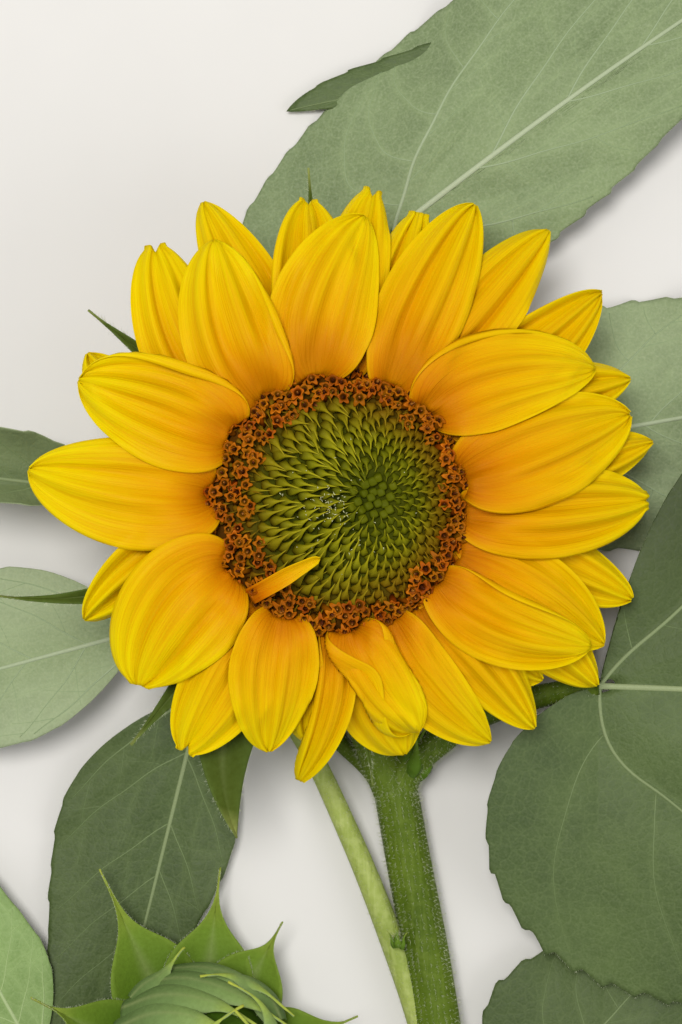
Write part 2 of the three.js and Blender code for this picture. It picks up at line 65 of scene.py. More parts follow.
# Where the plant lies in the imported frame, from the cut end of its stem
STEM_FOOT = (34, -198, 6.8)
cut_end = next(mount for mount in frame["record"]["mounts"] if mount["name"] == "cut_end")
SHIFT = np.array(cut_end["pos_m"]) / MM - np.array(STEM_FOOT)


# Numbers and lines

def ease(x, low, high):
    """0 below low, 1 above high, and a smooth rise between them."""
    t = np.clip((x - low) / (high - low), 0, 1)
    return t * t * (3 - 2 * t)


def mix(a, b, share):
    return a + (b - a) * share


def polar(degrees, radius):
    angle = math.radians(degrees)
    return np.array([radius * math.cos(angle), radius * math.sin(angle)])


def unit(vectors):
    return vectors / np.maximum(np.linalg.norm(vectors, axis=-1, keepdims=True), 1e-9)


def steps(count, low=0.0, high=1.0):
    return np.linspace(low, high, count)


def around(count):
    """count angles, evenly spaced once round."""
    return steps(count + 1, 0, 2 * math.pi)[:-1]


def sides_of(axis, hint):
    """Two directions square to an axis and to each other."""
    across = unit(np.cross(axis, np.array(hint)))
    return across, np.cross(axis, across)


def bezier(start, bend, end, u):
    """Points and directions of a quadratic curve at the shares u."""
    start, bend, end = (np.asarray(p, float) for p in (start, bend, end))
    u = np.asarray(u, float)[..., None]
    points = (1 - u) ** 2 * start + 2 * u * (1 - u) * bend + u * u * end
    return points, 2 * (1 - u) * (bend - start) + 2 * u * (end - bend)


def eased_between(a, b, out, back, t):
    """A cubic curve from a to b that leaves along out and arrives along back."""
    return a + t * out + t**2 * (3 * (b - a) - 2 * out - back) + t**3 * (2 * (a - b) + out + back)


def smooth_line(through, count):
    """count points at equal distances on a smooth curve through the given points."""
    points = np.array(through, float)
    before, after = 2 * points[0] - points[1], 2 * points[-1] - points[-2]
    held = np.vstack([before, points, after])
    parts = []
    for a, b, c, d in zip(held, held[1:], held[2:], held[3:]):
        ab, bc, cd = (math.sqrt(np.linalg.norm(q - p)) for p, q in ((a, b), (b, c), (c, d)))
        out = bc * ((b - a) / ab - (c - a) / (ab + bc) + (c - b) / bc)
        back = bc * ((c - b) / bc - (d - b) / (bc + cd) + (d - c) / cd)
        parts.append(eased_between(b, c, out, back, steps(60)[:, None]))
    fine = np.vstack(parts)
    length = np.concatenate([[0], np.cumsum(np.linalg.norm(np.diff(fine, axis=0), axis=1))])
    at = steps(count, 0, length[-1])
    return np.stack([np.interp(at, length, fine[:, k]) for k in range(3)], 1)


# Meshes

class Pile:
    """Points and faces that gather into one mesh, with named numbers for each point."""

    def __init__(self, place=lambda points: points):
        self.place = place
        self.points, self.faces, self.kinds, self.values = [], [], [], []
        self.count = 0

    def add(self, points, faces, kinds=0, **values):
        """Adds groups of faces. kinds are the groups' materials, or one for all of them."""
        points = self.place(np.asarray(points, float).reshape(-1, 3))
        self.points.append(points)
        for group, kind in zip(faces, np.broadcast_to(kinds, len(faces))):
            self.faces.append(np.asarray(group) + self.count)
            self.kinds.append(np.full(len(group), kind))
        flat = {name: np.broadcast_to(value, np.shape(value) or len(points)).ravel()
                for name, value in values.items()}
        self.values.append((len(points), flat))
        self.count += len(points)

    def add_sheet(self, grid, thickness, kinds=0, **values):
        """Adds a thin closed sheet about a grid of points, with the same numbers on both sides."""
        both = {name: np.tile(np.broadcast_to(value, grid.shape[:2]).ravel(), 2)
                for name, value in values.items()}
        self.add(*sheet(grid, thickness), kinds, **both)

    def mesh(self, name):
        mesh = bpy.data.meshes.new(name)
        points = (np.concatenate(self.points) + SHIFT) * MM
        faces = [face for group in self.faces for face in group.tolist()]
        mesh.from_pydata(points.tolist(), [], faces)
        mesh.polygons.foreach_set("material_index", np.concatenate(self.kinds).astype(np.int32))
        for key in sorted({key for _, flat in self.values for key in flat}):
            rows = [flat.get(key, np.zeros(count)) for count, flat in self.values]
            layer = mesh.attributes.new(key, "FLOAT", "POINT")
            layer.data.foreach_set("value", np.concatenate(rows).astype(np.float32))
        mesh.shade_smooth()
        mesh.update()
        return mesh


def placed(name, data):
    """A new object in the scene."""
    made = bpy.data.objects.new(name, data)
    bpy.context.scene.collection.objects.link(made)
    return made


def piece(name, pile, materials, replaces=()):
    """Makes the pile into a piece of the plant, which rides on its one body."""
    made = placed(name, pile.mesh(name))
    for material in materials:
        made.data.materials.append(material)
    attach(made, "root")
    if replaces:
        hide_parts(*replaces)
    return made


def grid_quads(rows, columns, wrapped=False):
    """The quads of a grid of points, closed round its rows if wrapped."""
    i, j = np.meshgrid(np.arange(rows - 1), np.arange(columns - (not wrapped)), indexing="ij")
    i, j = i.ravel(), j.ravel()
    k = (j + 1) % columns
    return np.stack([i * columns + j, (i + 1) * columns + j, (i + 1) * columns + k,
                     i * columns + k], 1)


def fan(middle, first, second):
    """Triangles that join one point to pairs of points."""
    return np.stack([np.full(len(first), middle), first, second], 1)


def closed_rings(rows, sides):
    """The faces of rings of points whose ends are closed by two middle points, which come last."""
    ring, last = np.arange(sides), (rows - 1) * sides
    after = (ring + 1) % sides
    return [grid_quads(rows, sides, wrapped=True), fan(rows * sides, ring, after),
            fan(rows * sides + 1, last + after, last + ring)]


def ringed(values, sides, first, last):
    """One number for each ring's points, and one for each of the two middle points."""
    return np.concatenate([np.repeat(values, sides), [first, last]])


def swept(line, side, across):
    """A grid that goes out from each point of a line, by distances across it along side."""
    return line[:, None] + side[:, None] * across[..., None]


def sheet(grid, thickness):
    """The points and faces of a thin closed sheet about a grid: upper side, lower side, edge."""
    rows, columns = grid.shape[:2]
    normal = unit(np.cross(np.gradient(grid, axis=0), np.gradient(grid, axis=1)))
    half = np.broadcast_to(thickness, (rows, columns))[..., None] / 2
    points = np.concatenate([(grid + normal * half).reshape(-1, 3),
                             (grid - normal * half).reshape(-1, 3)])
    upper = grid_quads(rows, columns)
    size = rows * columns
    index = np.arange(size).reshape(rows, columns)
    rim = np.concatenate([index[:-1, 0], index[-1, :-1], index[:0:-1, -1], index[0, :0:-1]])
    onward = np.roll(rim, -1)
    edge = np.stack([onward, rim, rim + size, onward + size], 1)
    return points, [upper, upper[:, ::-1] + size, edge]


def turned(radii, heights, sides):
    """A grid of rings round the vertical axis, one for each radius and height."""
    angle = around(sides)
    rings = radii[:, None, None] * np.stack([np.cos(angle), np.sin(angle)], 1)
    heights = np.broadcast_to(heights[:, None, None], (len(radii), sides, 1))
    return np.concatenate([rings, heights], -1)


def tube(line, radii, sides, flat=1.0, side_hint=(0, 0, 1), ribs=None):
    """A closed tube along a line of points. ribs(angle) scales its radius."""
    line = np.asarray(line, float)
    count = len(line)
    along = unit(np.gradient(line, axis=0))
    hint = np.broadcast_to(np.asarray(side_hint, float), along.shape)
    across = unit(np.cross(along, hint))
    up = np.cross(across, along)
    angle = around(sides)
    radii = np.broadcast_to(radii, count)[:, None]
    scale = radii * (ribs(angle) if ribs else np.ones(sides))
    out = (across[:, None] * np.cos(angle)[None, :, None]
           + up[:, None] * (flat * np.sin(angle))[None, :, None])
    points = line[:, None] + out * scale[..., None]
    body = grid_quads(count, sides, wrapped=True)[:, ::-1]
    start, end = count * sides, count * sides + 1
    ring = np.arange(sides)
    after = (ring + 1) % sides
    last = (count - 1) * sides
    caps = [fan(start, after, ring)[:, ::-1], fan(end, last + ring, last + after)[:, ::-1]]
    everything = np.vstack([points.reshape(-1, 3), line[:1], line[-1:]])
    return everything, [body, *caps], unit(out)


def spikes(pile, roots, directions, lengths, radius):
    """Short three-sided hairs, closed at the foot."""
    count = len(roots)
    if count == 0:
        return
    directions = unit(directions)
    across, up = sides_of(directions, (0.31, 0.52, 0.79))
    foot = [roots + radius * (across * math.cos(a) + up * math.sin(a)) for a in (0, 2.1, 4.2)]
    tip = roots + directions * lengths[:, None]
    points = np.stack([*foot, tip], 1).reshape(-1, 3)
    first = np.arange(count)[:, None] * 4
    sides = [first + np.array(corners) for corners in ([0, 1, 3], [1, 2, 3], [2, 0, 3], [2, 1, 0])]
    pile.add(points, sides)


# Materials

class Paint:
    """A Principled material whose colour, gloss and relief come from procedural nodes."""

    def __init__(self, name, roughness=0.6, specular=0.3):
        self.material = bpy.data.materials.new(name)
        self.material.use_nodes = True
        self.tree = self.material.node_tree
        self.shader = self.tree.nodes["Principled BSDF"]
        self.shader.inputs["Roughness"].default_value = roughness
        self.shader.inputs["Specular IOR Level"].default_value = specular
        self.place = self.node("ShaderNodeTexCoord").outputs["Object"]

    def node(self, kind, **settings):
        made = self.tree.nodes.new(kind)
        for key, value in settings.items():
            setattr(made, key, value)
        return made

    def link(self, value, socket):
        if isinstance(value, bpy.types.NodeSocket):
            self.tree.links.new(value, socket)
        else:
            socket.default_value = value

    def number(self, name):
        """One of the mesh's own named numbers."""
        return self.node("ShaderNodeAttribute", attribute_name=name).outputs["Fac"]

    def maths(self, operation, a, b=0.0):
        made = self.node("ShaderNodeMath", operation=operation)
        self.link(a, made.inputs[0])
        self.link(b, made.inputs[1])
        return made.outputs[0]

    def times(self, a, b):
        return self.maths("MULTIPLY", a, b)

    def plus(self, a, b):
        return self.maths("ADD", a, b)

    def vector(self, x, y, z):
        made = self.node("ShaderNodeCombineXYZ")
        for value, socket in zip((x, y, z), made.inputs):
            self.link(value, socket)
        return made.outputs[0]

    def noise(self, scale, detail=3.0, vector=None, stretch=(1, 1, 1)):
        mapping = self.node("ShaderNodeMapping")
        self.link(self.place if vector is None else vector, mapping.inputs["Vector"])
        mapping.inputs["Scale"].default_value = stretch
        made = self.node("ShaderNodeTexNoise")
        self.link(mapping.outputs[0], made.inputs["Vector"])
        made.inputs["Scale"].default_value = scale
        made.inputs["Detail"].default_value = detail
        return made.outputs["Fac"]

    def cells(self, scale, feature="DISTANCE_TO_EDGE"):
        made = self.node("ShaderNodeTexVoronoi", feature=feature)
        self.link(self.place, made.inputs["Vector"])
        made.inputs["Scale"].default_value = scale
        return made.outputs["Distance"]

    def ramp(self, value, stops):
        """The colour at value, from (place, colour) stops."""
        made = self.node("ShaderNodeValToRGB")
        elements = made.color_ramp.elements
        while len(elements) < len(stops):
            elements.new(0.5)
        for element, (at, colour) in zip(elements, stops):
            element.position = at
            element.color = (*colour, 1)
        self.link(value, made.inputs["Fac"])
        return made.outputs["Color"]

    def greys(self, value, *stops):
        """The grey level at value, from (place, level) stops."""
        return self.ramp(value, [(at, (level,) * 3) for at, level in stops])

    def blend(self, share, a, b):
        """The colours a and b mixed, the more of b the greater the share."""
        made = self.node("ShaderNodeMix", data_type="RGBA")
        self.link(share, made.inputs[0])
        for colour, socket in ((a, made.inputs[6]), (b, made.inputs[7])):
            self.link((*colour, 1) if isinstance(colour, tuple) else colour, socket)
        return made.outputs[2]

    def finish(self, colour, relief=(), roughness=None):
        """Sets the colour and the bumps, each a height and a distance in mm."""
        self.link(colour, self.shader.inputs["Base Color"])
        normal = None
        for height, distance in relief:
            bump = self.node("ShaderNodeBump")
            bump.inputs["Distance"].default_value = distance * MM
            self.link(height, bump.inputs["Height"])
            if normal is not None:
                self.link(normal, bump.inputs["Normal"])
            normal = bump.outputs["Normal"]
        if normal is not None:
            self.link(normal, self.shader.inputs["Normal"])
        if roughness is not None:
            self.link(roughness, self.shader.inputs["Roughness"])
        return self.material


def petal_paint():
    """Deep orange at the foot through golden yellow to a lemon tip, with fine lengthwise veins,
    painted shade in the throat and the grooves, and a painted highlight along the margins.
    """
    paint = Paint("petal", 0.55, 0.05)
    along, across, tone = (paint.number(name) for name in ("along", "across", "tone"))
    streaks = paint.noise(1.0, 3.0, paint.vector(along, across, tone), (1.6, 11, 7))
    fine = paint.noise(1.0, 2.0, paint.vector(along, across, tone), (2.2, 54, 9))
    outward = paint.maths("ABSOLUTE", across)
    drift = paint.times(paint.maths("SUBTRACT", streaks, 0.5), 0.17)
    far = paint.plus(paint.plus(along, drift), paint.times(outward, 0.1))
    slide = paint.times(tone, paint.plus(paint.times(along, 0.14), 0.07))
    at = paint.maths("SUBTRACT", far, slide)
    # The darkest stops at the foot are partly painted shade in the throat, over the foot's deep
    # orange.
    body = paint.ramp(at, [
        (0.0, (0.4, 0.1, 0.0)), (0.06, (0.55, 0.165, 0.0)), (0.16, (0.64, 0.25, 0.0)),
        (0.34, (0.69, 0.345, 0.0)), (0.6, (0.72, 0.45, 0.0)), (0.9, (0.76, 0.6, 0.0)),
    ])
    veined = paint.blend(paint.greys(fine, (0.36, 0.3), (0.56, 0)), body, (0.58, 0.2, 0.0))
    # Painted shade: darker orange in the grooves and the throat.
    grooved = paint.blend(paint.times(paint.number("groove"), 0.3), veined, (0.5, 0.18, 0.0))
    # Painted highlight: paler yellow along the margins.
    rim = paint.times(paint.maths("POWER", outward, 8), 0.35)
    colour = paint.blend(rim, grooved, (0.8, 0.56, 0.0))
    paint.shader.inputs["Subsurface Weight"].default_value = 0.1
    paint.shader.inputs["Subsurface Radius"].default_value = (1.0, 0.5, 0.02)
    paint.shader.inputs["Subsurface Scale"].default_value = 1.5 * MM
    gloss = paint.greys(streaks, (0.2, 0.42), (0.8, 0.62))
    return paint.finish(colour, [(fine, 0.12), (streaks, 0.3)], gloss)


def ramped_paint(name, stops, roughness=0.6, mottle=0.25, grain=900, relief=0.12, specular=0.25,
                 tint=(0.3, 0.3, 0.05), rib=(0.3, 0.36, 0.14)):
    """A colour that follows the piece's own number along, mottled and finely grained."""
    paint = Paint(name, roughness, specular)
    spots = paint.noise(grain, 3.0)
    body = paint.ramp(paint.number("along"), stops)
    toned = paint.blend(paint.number("tone"), body, tint)
    ribbed = paint.blend(paint.times(paint.number("near"), 0.6), toned, rib)
    colour = paint.blend(paint.times(spots, mottle), ribbed, (0.02, 0.02, 0.0))
    rough = paint.greys(spots, (0.2, roughness - 0.1), (0.8, min(roughness + 0.15, 1)))
    return paint.finish(colour, [(spots, relief)], rough)


def leaf_paint(name, deep, light, vein_net, downy_tint, downy, roughness=0.55):
    """A leaf's face: its faint net of veins, its downy bloom and its slow change of tint."""
    paint = Paint(name, roughness, 0.3)
    net, finer_net = paint.cells(330), paint.cells(900)
    drift, patches = paint.noise(16, 3.0), paint.noise(85, 4.0)
    grain = paint.noise(1500, 3.0)
    wide = paint.plus(paint.times(drift, 0.65), paint.times(patches, 0.35))
    body = paint.blend(paint.greys(wide, (0.36, 0), (0.64, 1)), deep, light)
    netted = paint.blend(paint.greys(net, (0.0, 0.2), (0.1, 0)), body, vein_net)
    down = paint.times(paint.maths("POWER", grain, 2.0), downy)
    near = paint.times(paint.number("near"), 0.4)
    veined = paint.blend(near, paint.blend(down, netted, downy_tint), vein_net)
    # tone pales the face above 0 and darkens it below 0; on the right leaf the darkening is painted
    # shade.
    tone = paint.number("tone")
    paled = paint.blend(tone, veined, downy_tint)
    colour = paint.blend(paint.times(tone, -1.0), paled, (0.02, 0.03, 0.0))
    pillows, small = (paint.greys(cell, (0.0, 0), (0.32, 1)) for cell in (net, finer_net))
    rough = paint.greys(grain, (0.2, roughness - 0.08), (0.8, roughness + 0.15))
    return paint.finish(colour, [(pillows, 0.07), (small, 0.035), (grain, 0.05)], rough)


def vein_paint(name, weak, strong):
    """A vein's colour, paler where the vein is strong."""
    paint = Paint(name, 0.55, 0.3)
    grain = paint.noise(1800, 2.0)
    colour = paint.blend(paint.number("near"), weak, strong)
    darker = paint.blend(paint.times(grain, 0.3), colour, weak)
    return paint.finish(darker, [(grain, 0.05)])


def stem_paint(name, dark, light, streak):
    """A hairy green stem with fine pale streaks along it."""
    paint = Paint(name, 0.55, 0.14)
    streaks = paint.noise(1.0, 4.0, None, (1100, 70, 1100))
    patches, blots = paint.noise(45, 3.0), paint.noise(420, 3.0)
    dots = paint.cells(1000, "F1")
    body = paint.blend(paint.greys(patches, (0.3, 0), (0.7, 1)), dark, light)
    lined = paint.blend(paint.greys(streaks, (0.5, 0), (0.75, 0.4)), body, streak)
    blotted = paint.blend(paint.greys(blots, (0.45, 0), (0.7, 0.35)), lined, streak)
    spotted = paint.blend(paint.greys(dots, (0.04, 0.5), (0.14, 0)), blotted, (0.34, 0.41, 0.1))
    return paint.finish(spotted, [(streaks, 0.2), (blots, 0.15), (dots, 0.12)])


def plain_paint(name, colour, roughness=0.6, shade=0.3, grain=500):
    """One colour with a fine drift of light and dark."""
    paint = Paint(name, roughness, 0.25)
    drift = paint.noise(grain, 2.0)
    darker = tuple(c * (1 - shade) for c in colour)
    return paint.finish(paint.blend(drift, colour, darker), [(drift, 0.05)])


PETAL = petal_paint()
# Partly painted shade: the bed shows only in the gaps between the scales, and its own greens and
# browns are darkened there as shade.
DISC_BED = ramped_paint("disc_bed", [
    (0.0, (0.03, 0.045, 0.002)), (0.6, (0.07, 0.075, 0.003)), (0.82, (0.1, 0.06, 0.003)),
    (0.95, (0.09, 0.03, 0.002)),
], 0.8, 0.3, 700, 0.3, 0.05)
SCALE = ramped_paint("disc_scale", [
    (0.0, (0.03, 0.027, 0.001)), (0.18, (0.085, 0.08, 0.002)), (0.4, (0.19, 0.185, 0.003)),
    (0.62, (0.3, 0.28, 0.005)), (0.85, (0.42, 0.38, 0.012)), (1.0, (0.5, 0.45, 0.03)),
], 0.55, 0.25, 1400, 0.12, 0.06, tint=(0.062, 0.082, 0.001), rib=(0.21, 0.08, 0.003))
FLORET = ramped_paint("disc_floret", [
    (0.0, (0.05, 0.006, 0.0)), (0.35, (0.19, 0.03, 0.0)), (0.7, (0.42, 0.085, 0.001)),
    (1.0, (0.66, 0.18, 0.004)),
], 0.5, 0.28, 1400, 0.12, 0.08, tint=(0.55, 0.27, 0.004))
ANTHER = ramped_paint("anther", [
    (0.0, (0.03, 0.006, 0.002)), (0.7, (0.1, 0.018, 0.004)), (1.0, (0.55, 0.22, 0.03)),
], 0.5)
SPECK = plain_paint("pollen_speck", (0.75, 0.75, 0.42), 0.8)
BRACT = ramped_paint("bract", [
    (0.0, (0.026, 0.045, 0.003)), (0.5, (0.042, 0.07, 0.004)), (0.9, (0.07, 0.105, 0.01)),
    (1.0, (0.34, 0.38, 0.1)),
], 0.65, 0.4, 800, 0.2, 0.12, tint=(0.11, 0.175, 0.035))
YOUNG = ramped_paint("young_bract", [
    (0.0, (0.035, 0.085, 0.004)), (0.3, (0.08, 0.17, 0.008)), (0.6, (0.14, 0.24, 0.02)),
    (1.0, (0.42, 0.46, 0.08)),
], 0.6, 0.3, 900, 0.15, 0.12, tint=(0.2, 0.3, 0.035))
ROLLED = ramped_paint("rolled_bract", [
    (0.0, (0.06, 0.12, 0.025)), (0.35, (0.14, 0.23, 0.065)), (0.6, (0.22, 0.33, 0.09)),
    (0.75, (0.34, 0.45, 0.06)), (1.0, (0.5, 0.54, 0.05)),
], 0.6, 0.3, 900, 0.15, 0.12, tint=(0.28, 0.39, 0.15))
LEAF_UPPER = leaf_paint("leaf_upper", (0.034, 0.062, 0.013), (0.073, 0.115, 0.028),
                        (0.12, 0.17, 0.055), (0.26, 0.31, 0.16), 0.32)
LEAF_LOWER = leaf_paint("leaf_lower", (0.125, 0.18, 0.07), (0.2, 0.27, 0.115),
                        (0.29, 0.37, 0.18), (0.5, 0.56, 0.38), 0.5, 0.65)
LEAF_FRESH = leaf_paint("leaf_fresh", (0.14, 0.235, 0.06), (0.22, 0.34, 0.1),
                        (0.3, 0.42, 0.16), (0.42, 0.52, 0.26), 0.4)
VEIN_UPPER = vein_paint("vein_upper", (0.1, 0.15, 0.05), (0.36, 0.42, 0.22))
VEIN_FRESH = vein_paint("vein_fresh", (0.3, 0.42, 0.16), (0.5, 0.58, 0.34))
VEIN_LOWER = vein_paint("vein_lower", (0.22, 0.3, 0.15), (0.52, 0.57, 0.4))
STEM_GREEN = stem_paint("stem_green", (0.055, 0.095, 0.004), (0.095, 0.15, 0.008), (0.15, 0.21, 0.03))
STALK_PALE = stem_paint("stalk_pale", (0.24, 0.31, 0.06), (0.34, 0.41, 0.1), (0.48, 0.54, 0.2))
HAIR = plain_paint("white_hair", (0.64, 0.68, 0.48), 0.7, 0.1)


# The bloom's own frame

def in_bloom(points):
    """Points given in the bloom's frame, in the frame of the whole plant."""
    points = np.asarray(points, float)
    x, y, z = points[..., 0], points[..., 1], points[..., 2]
    c, s = math.cos(BLOOM_LEAN), math.sin(BLOOM_LEAN)
    return np.stack([c * x + s * z, y, c * z - s * x + BLOOM_HEIGHT], -1)


# Ray florets

# Each ray floret: its whorl, the angle and distance of its tip, the angle of its root, its width
# and what else it has. ring picks the radius and the width of its root, lift raises its back, cup
# hollows its root, roll tilts it to one side, drop lowers its tip, notch cuts into the tip, and
# fold turns the margins back over the face. They are in the order in which they lie on each
# other, lowest first.
BACK = {"ring": "back", "lift": 4, "cup": 1.2, "roll": 0, "drop": 5}
MIDDLE = {"ring": "back", "lift": 6, "cup": 1.8, "roll": 0, "drop": 4}
FRONT = {"ring": "front", "lift": 8, "cup": 2.8, "roll": 0, "drop": 3}
RAYS = [
    (BACK, 11, 83, 5, 19, {}),
    (BACK, 23, 82, 26, 20, {}),
    (BACK, 38.5, 87, 38, 21, {"drop": 6}),
    (BACK, 75, 76, 75, 16, {"drop": 2, "notch": 0.1}),
    (BACK, 84, 80, 86, 17, {"notch": 2}),
    (BACK, 115, 83, 112, 19, {}),
    (BACK, 126, 80, 137, 22, {"drop": 7, "notch": 2}),
    (BACK, 150, 74, 160, 20, {}),
    (BACK, 204, 71, 193, 18, {"roll": -2, "fold": (0, 0.4)}),
    (BACK, 225, 62, 222, 18, {}),
    (BACK, 262, 61, 258, 17, {}),
    (BACK, 284.5, 66, 284, 26, {"drop": 7}),
    (BACK, 300, 71, 303, 17, {}),
    (BACK, 319, 69, 317, 17, {}),
    (BACK, 325, 82, 329, 20, {"drop": 7}),
    (BACK, 342, 80, 345, 20, {"drop": 6}),
    (MIDDLE, 52.5, 88, 57, 21, {}),
    (MIDDLE, 96.5, 77, 96, 21, {"notch": 1.5}),
    (MIDDLE, 237.3, 74, 234, 22, {"notch": 2}),
    (MIDDLE, 261.7, 71, 266, 12, {"roll": 3, "drop": 9, "fold": (0.35, 0)}),
    (MIDDLE, 311, 76, 310, 18, {}),
    (MIDDLE, 332, 77, 336, 22, {}),
    (FRONT, 66, 83, 66, 23, {}),
    (FRONT, 0.5, 80, -5, 23, {"notch": 0.8}),
    (FRONT, 17, 78, 12, 28, {}),
    (FRONT, 174, 79, 177, 28, {}),
    (FRONT, 302, 71.5, 294, 18, {}),
    (FRONT, 330, 73, 321.5, 21, {"fold": (0, 0.16)}),
    (FRONT, 28, 73, 45, 27, {"fold": (0, 0.14)}),
    (FRONT, 86, 72, 101, 27, {}),
    (FRONT, 117, 73, 126, 27, {"fold": (0.16, 0)}),
    (FRONT, 155.5, 73, 149, 30, {"fold": (0.2, 0)}),
    (FRONT, 221.5, 68.5, 211, 30, {"notch": 0.3}),
    (FRONT, 253, 65, 242.5, 22.5, {}),
    (FRONT, 287, 60, 274, 26, {"fold": (0.55, 0.3)}),
]
RAY_ROOT_RADII = {"front": DISC_RADIUS + 0.6, "back": DISC_RADIUS + 1.8}
CLAW_WIDTHS = {"front": 8.5, "back": 6.5}
TIP_SHIFT = np.array([2.2, 0])
TIP_WIDTH = 1.4
NOTCHED_TIP_WIDTH = 5.0
RAY_ALONG, RAY_ACROSS = 60, 45
RAY_SEED = 100
RAY_CLEARANCE = PETAL_THICKNESS + 0.3
PLEATS = [(-0.36, 1.0), (0.34, 1.0), (-0.68, 0.55), (0.7, 0.55), (0.0, 0.5)]


def ray_width(ray, u):
    """Half the width: a broad claw, the widest place near the middle, and a tapering tip."""
    least = NOTCHED_TIP_WIDTH if "notch" in ray else TIP_WIDTH
    power = 0.5 if "notch" in ray else 0.57
    wide = ray["width"] * 1.92 * (u + 0.02) ** 0.43 * (1 - u) ** power
    return np.maximum(wide, np.where(u < 0.5, CLAW_WIDTHS[ray["ring"]], least)) / 2


def pleats_of(u, v, rng):
    """How deep the lengthwise grooves are at each point, from 0 to about 1."""
    # The same depths also set the painted shade in the grooves.
    groove = 0
    for at, depth in PLEATS:
        at, depth = at + rng.uniform(-0.08, 0.08), depth * rng.uniform(0.5, 1.25)
        groove = groove + depth * np.exp(-(((v - at) / 0.1) ** 2))
    return groove * ease(u, 0.12, 0.55)


def folded(ray, u, v):
    """Where the margins turn back over the face: the place across and the rise of each point."""
    rise = np.zeros(np.broadcast(u, v).shape)
    for side, amount in zip((-1, 1), ray.get("fold", (0, 0))):
        line = 1 - amount * np.sin(math.pi * np.clip(u, 0, 1) ** 0.9)
        past = np.maximum(side * v - line, 0)
        rise = rise + 1.1 * (1 - np.exp(-past / 0.05)) + 5 * past * (amount - past)
        v = v - 2 * side * past
    return v, rise


def free_ray(ray, rng):
    """A ray floret's middle surface as it would lie with nothing under it, and the painted shade of
    its grooves and its throat.
    """
    root_radius, reach = RAY_ROOT_RADII[ray["ring"]], ray["reach"]
    u, v = steps(RAY_ALONG), steps(RAY_ACROSS, -1, 1)[None]
    line, along = bezier(polar(ray["root"], root_radius),
                         polar(ray["root"] + rng.uniform(-4, 4), mix(root_radius, reach, 0.42)),
                         polar(ray["tip"], reach) + TIP_SHIFT, u)
    along = unit(along)
    side = np.stack([-along[:, 1], along[:, 0]], 1)
    u = u[:, None]
    half = ray_width(ray, u)
    groove = pleats_of(u, v, rng)
    ribs = 0.5 + 0.5 * np.cos(v * 40 + rng.uniform(0, 6))
    folds = np.cos(v * rng.uniform(7.5, 9.5) + rng.uniform(0, 6) + 0.8 * u)
    folds = rng.uniform(0.8, 1.5) * folds * ease(u, 0.08, 0.4) * (1 - 0.6 * ease(u, 0.8, 1))
    place_across, fold_rise = folded(ray, u, v)
    hollow = -0.21 * half * ease(u, 0.05, 0.45)
    throat = 1.7 * ray["cup"] * (1 - np.exp(-((v / 0.42) ** 2))) * (1 - ease(u, 0.02, 0.42))
    arch = ray["lift"] * np.sin(math.pi * u**0.75) - ray["drop"] * u**3
    height = SEAT_HEIGHT + GAP + PETAL_THICKNESS / 2 + arch + throat + hollow * place_across**2
    height = height + (ray["roll"] + rng.uniform(-1.6, 1.6)) * v * ease(u, 0.1, 0.6) + folds
    wave = rng.uniform(0.7, 1.9) * np.sin(u * rng.uniform(5, 9) + rng.uniform(0, 6))
    height = height - 0.11 * half * groove - 0.012 * half * ribs * ease(u, 0.1, 0.5)
    height = height + wave * np.abs(v) ** 3 * ease(u, 0.2, 0.5) + fold_rise
    back = 2.2 * v * v * (1 - ease(u, 0, 0.3))
    back = back + ray.get("notch", 0) * np.exp(-((v / 0.3) ** 2)) * ease(u, 0.8, 1)
    plan = swept(line, side, half * place_across) - along[:, None] * back[..., None]
    # Painted shade in the throat, deepest on the petals at the top of the bloom, added to the grooves'
    # painted shade.
    upper = max(0.0, math.sin(math.radians(ray["tip"])))
    deep = 1.5 + 2.2 * upper + rng.uniform(-0.3, 0.3)
    shade = deep * np.exp(-((v / 0.6) ** 4)) * (1 - ease(u, 0.04, 0.28 + 0.22 * upper))
    return np.concatenate([plan, height[..., None]], -1), groove + shade


class Heap:
    """The heights that the ray florets laid so far reach, on a square grid in plan."""

    CELL, REACH = 0.5, 110

    def __init__(self):
        size = int(2 * self.REACH / self.CELL)
        self.tops = np.full((size, size), -1e3)

    def cells(self, grid):
        at = np.round((grid[..., :2] + self.REACH) / self.CELL).astype(int)
        return at[..., 0], at[..., 1]

    def needed(self, grid):
        """How far each point must rise to clear what lies within two cells of it."""
        spread = self.tops
        for axis in (0, 1):
            spread = np.max([np.roll(spread, step, axis) for step in (-2, -1, 0, 1, 2)], axis=0)
        return np.maximum(spread[self.cells(grid)] + RAY_CLEARANCE - grid[..., 2], 0)

    def add(self, grid):
        fine = finer(finer(grid, 5, 0), 5, 1)
        np.maximum.at(self.tops, self.cells(fine), fine[..., 2])


def finer(grid, times, axis):
    """The grid with times as many steps along one axis."""
    grid = np.moveaxis(grid, axis, 0)
    at = np.arange((len(grid) - 1) * times + 1) / times
    low = np.minimum(at.astype(int), len(grid) - 2)
    share = (at - low).reshape(-1, *[1] * (grid.ndim - 1))
    return np.moveaxis(mix(grid[low], grid[low + 1], share), 0, axis)


def around_mean(values):
    padded = np.pad(values, 1, mode="edge")
    return (padded[:-2, 1:-1] + padded[2:, 1:-1] + padded[1:-1, :-2] + padded[1:-1, 2:]) / 4


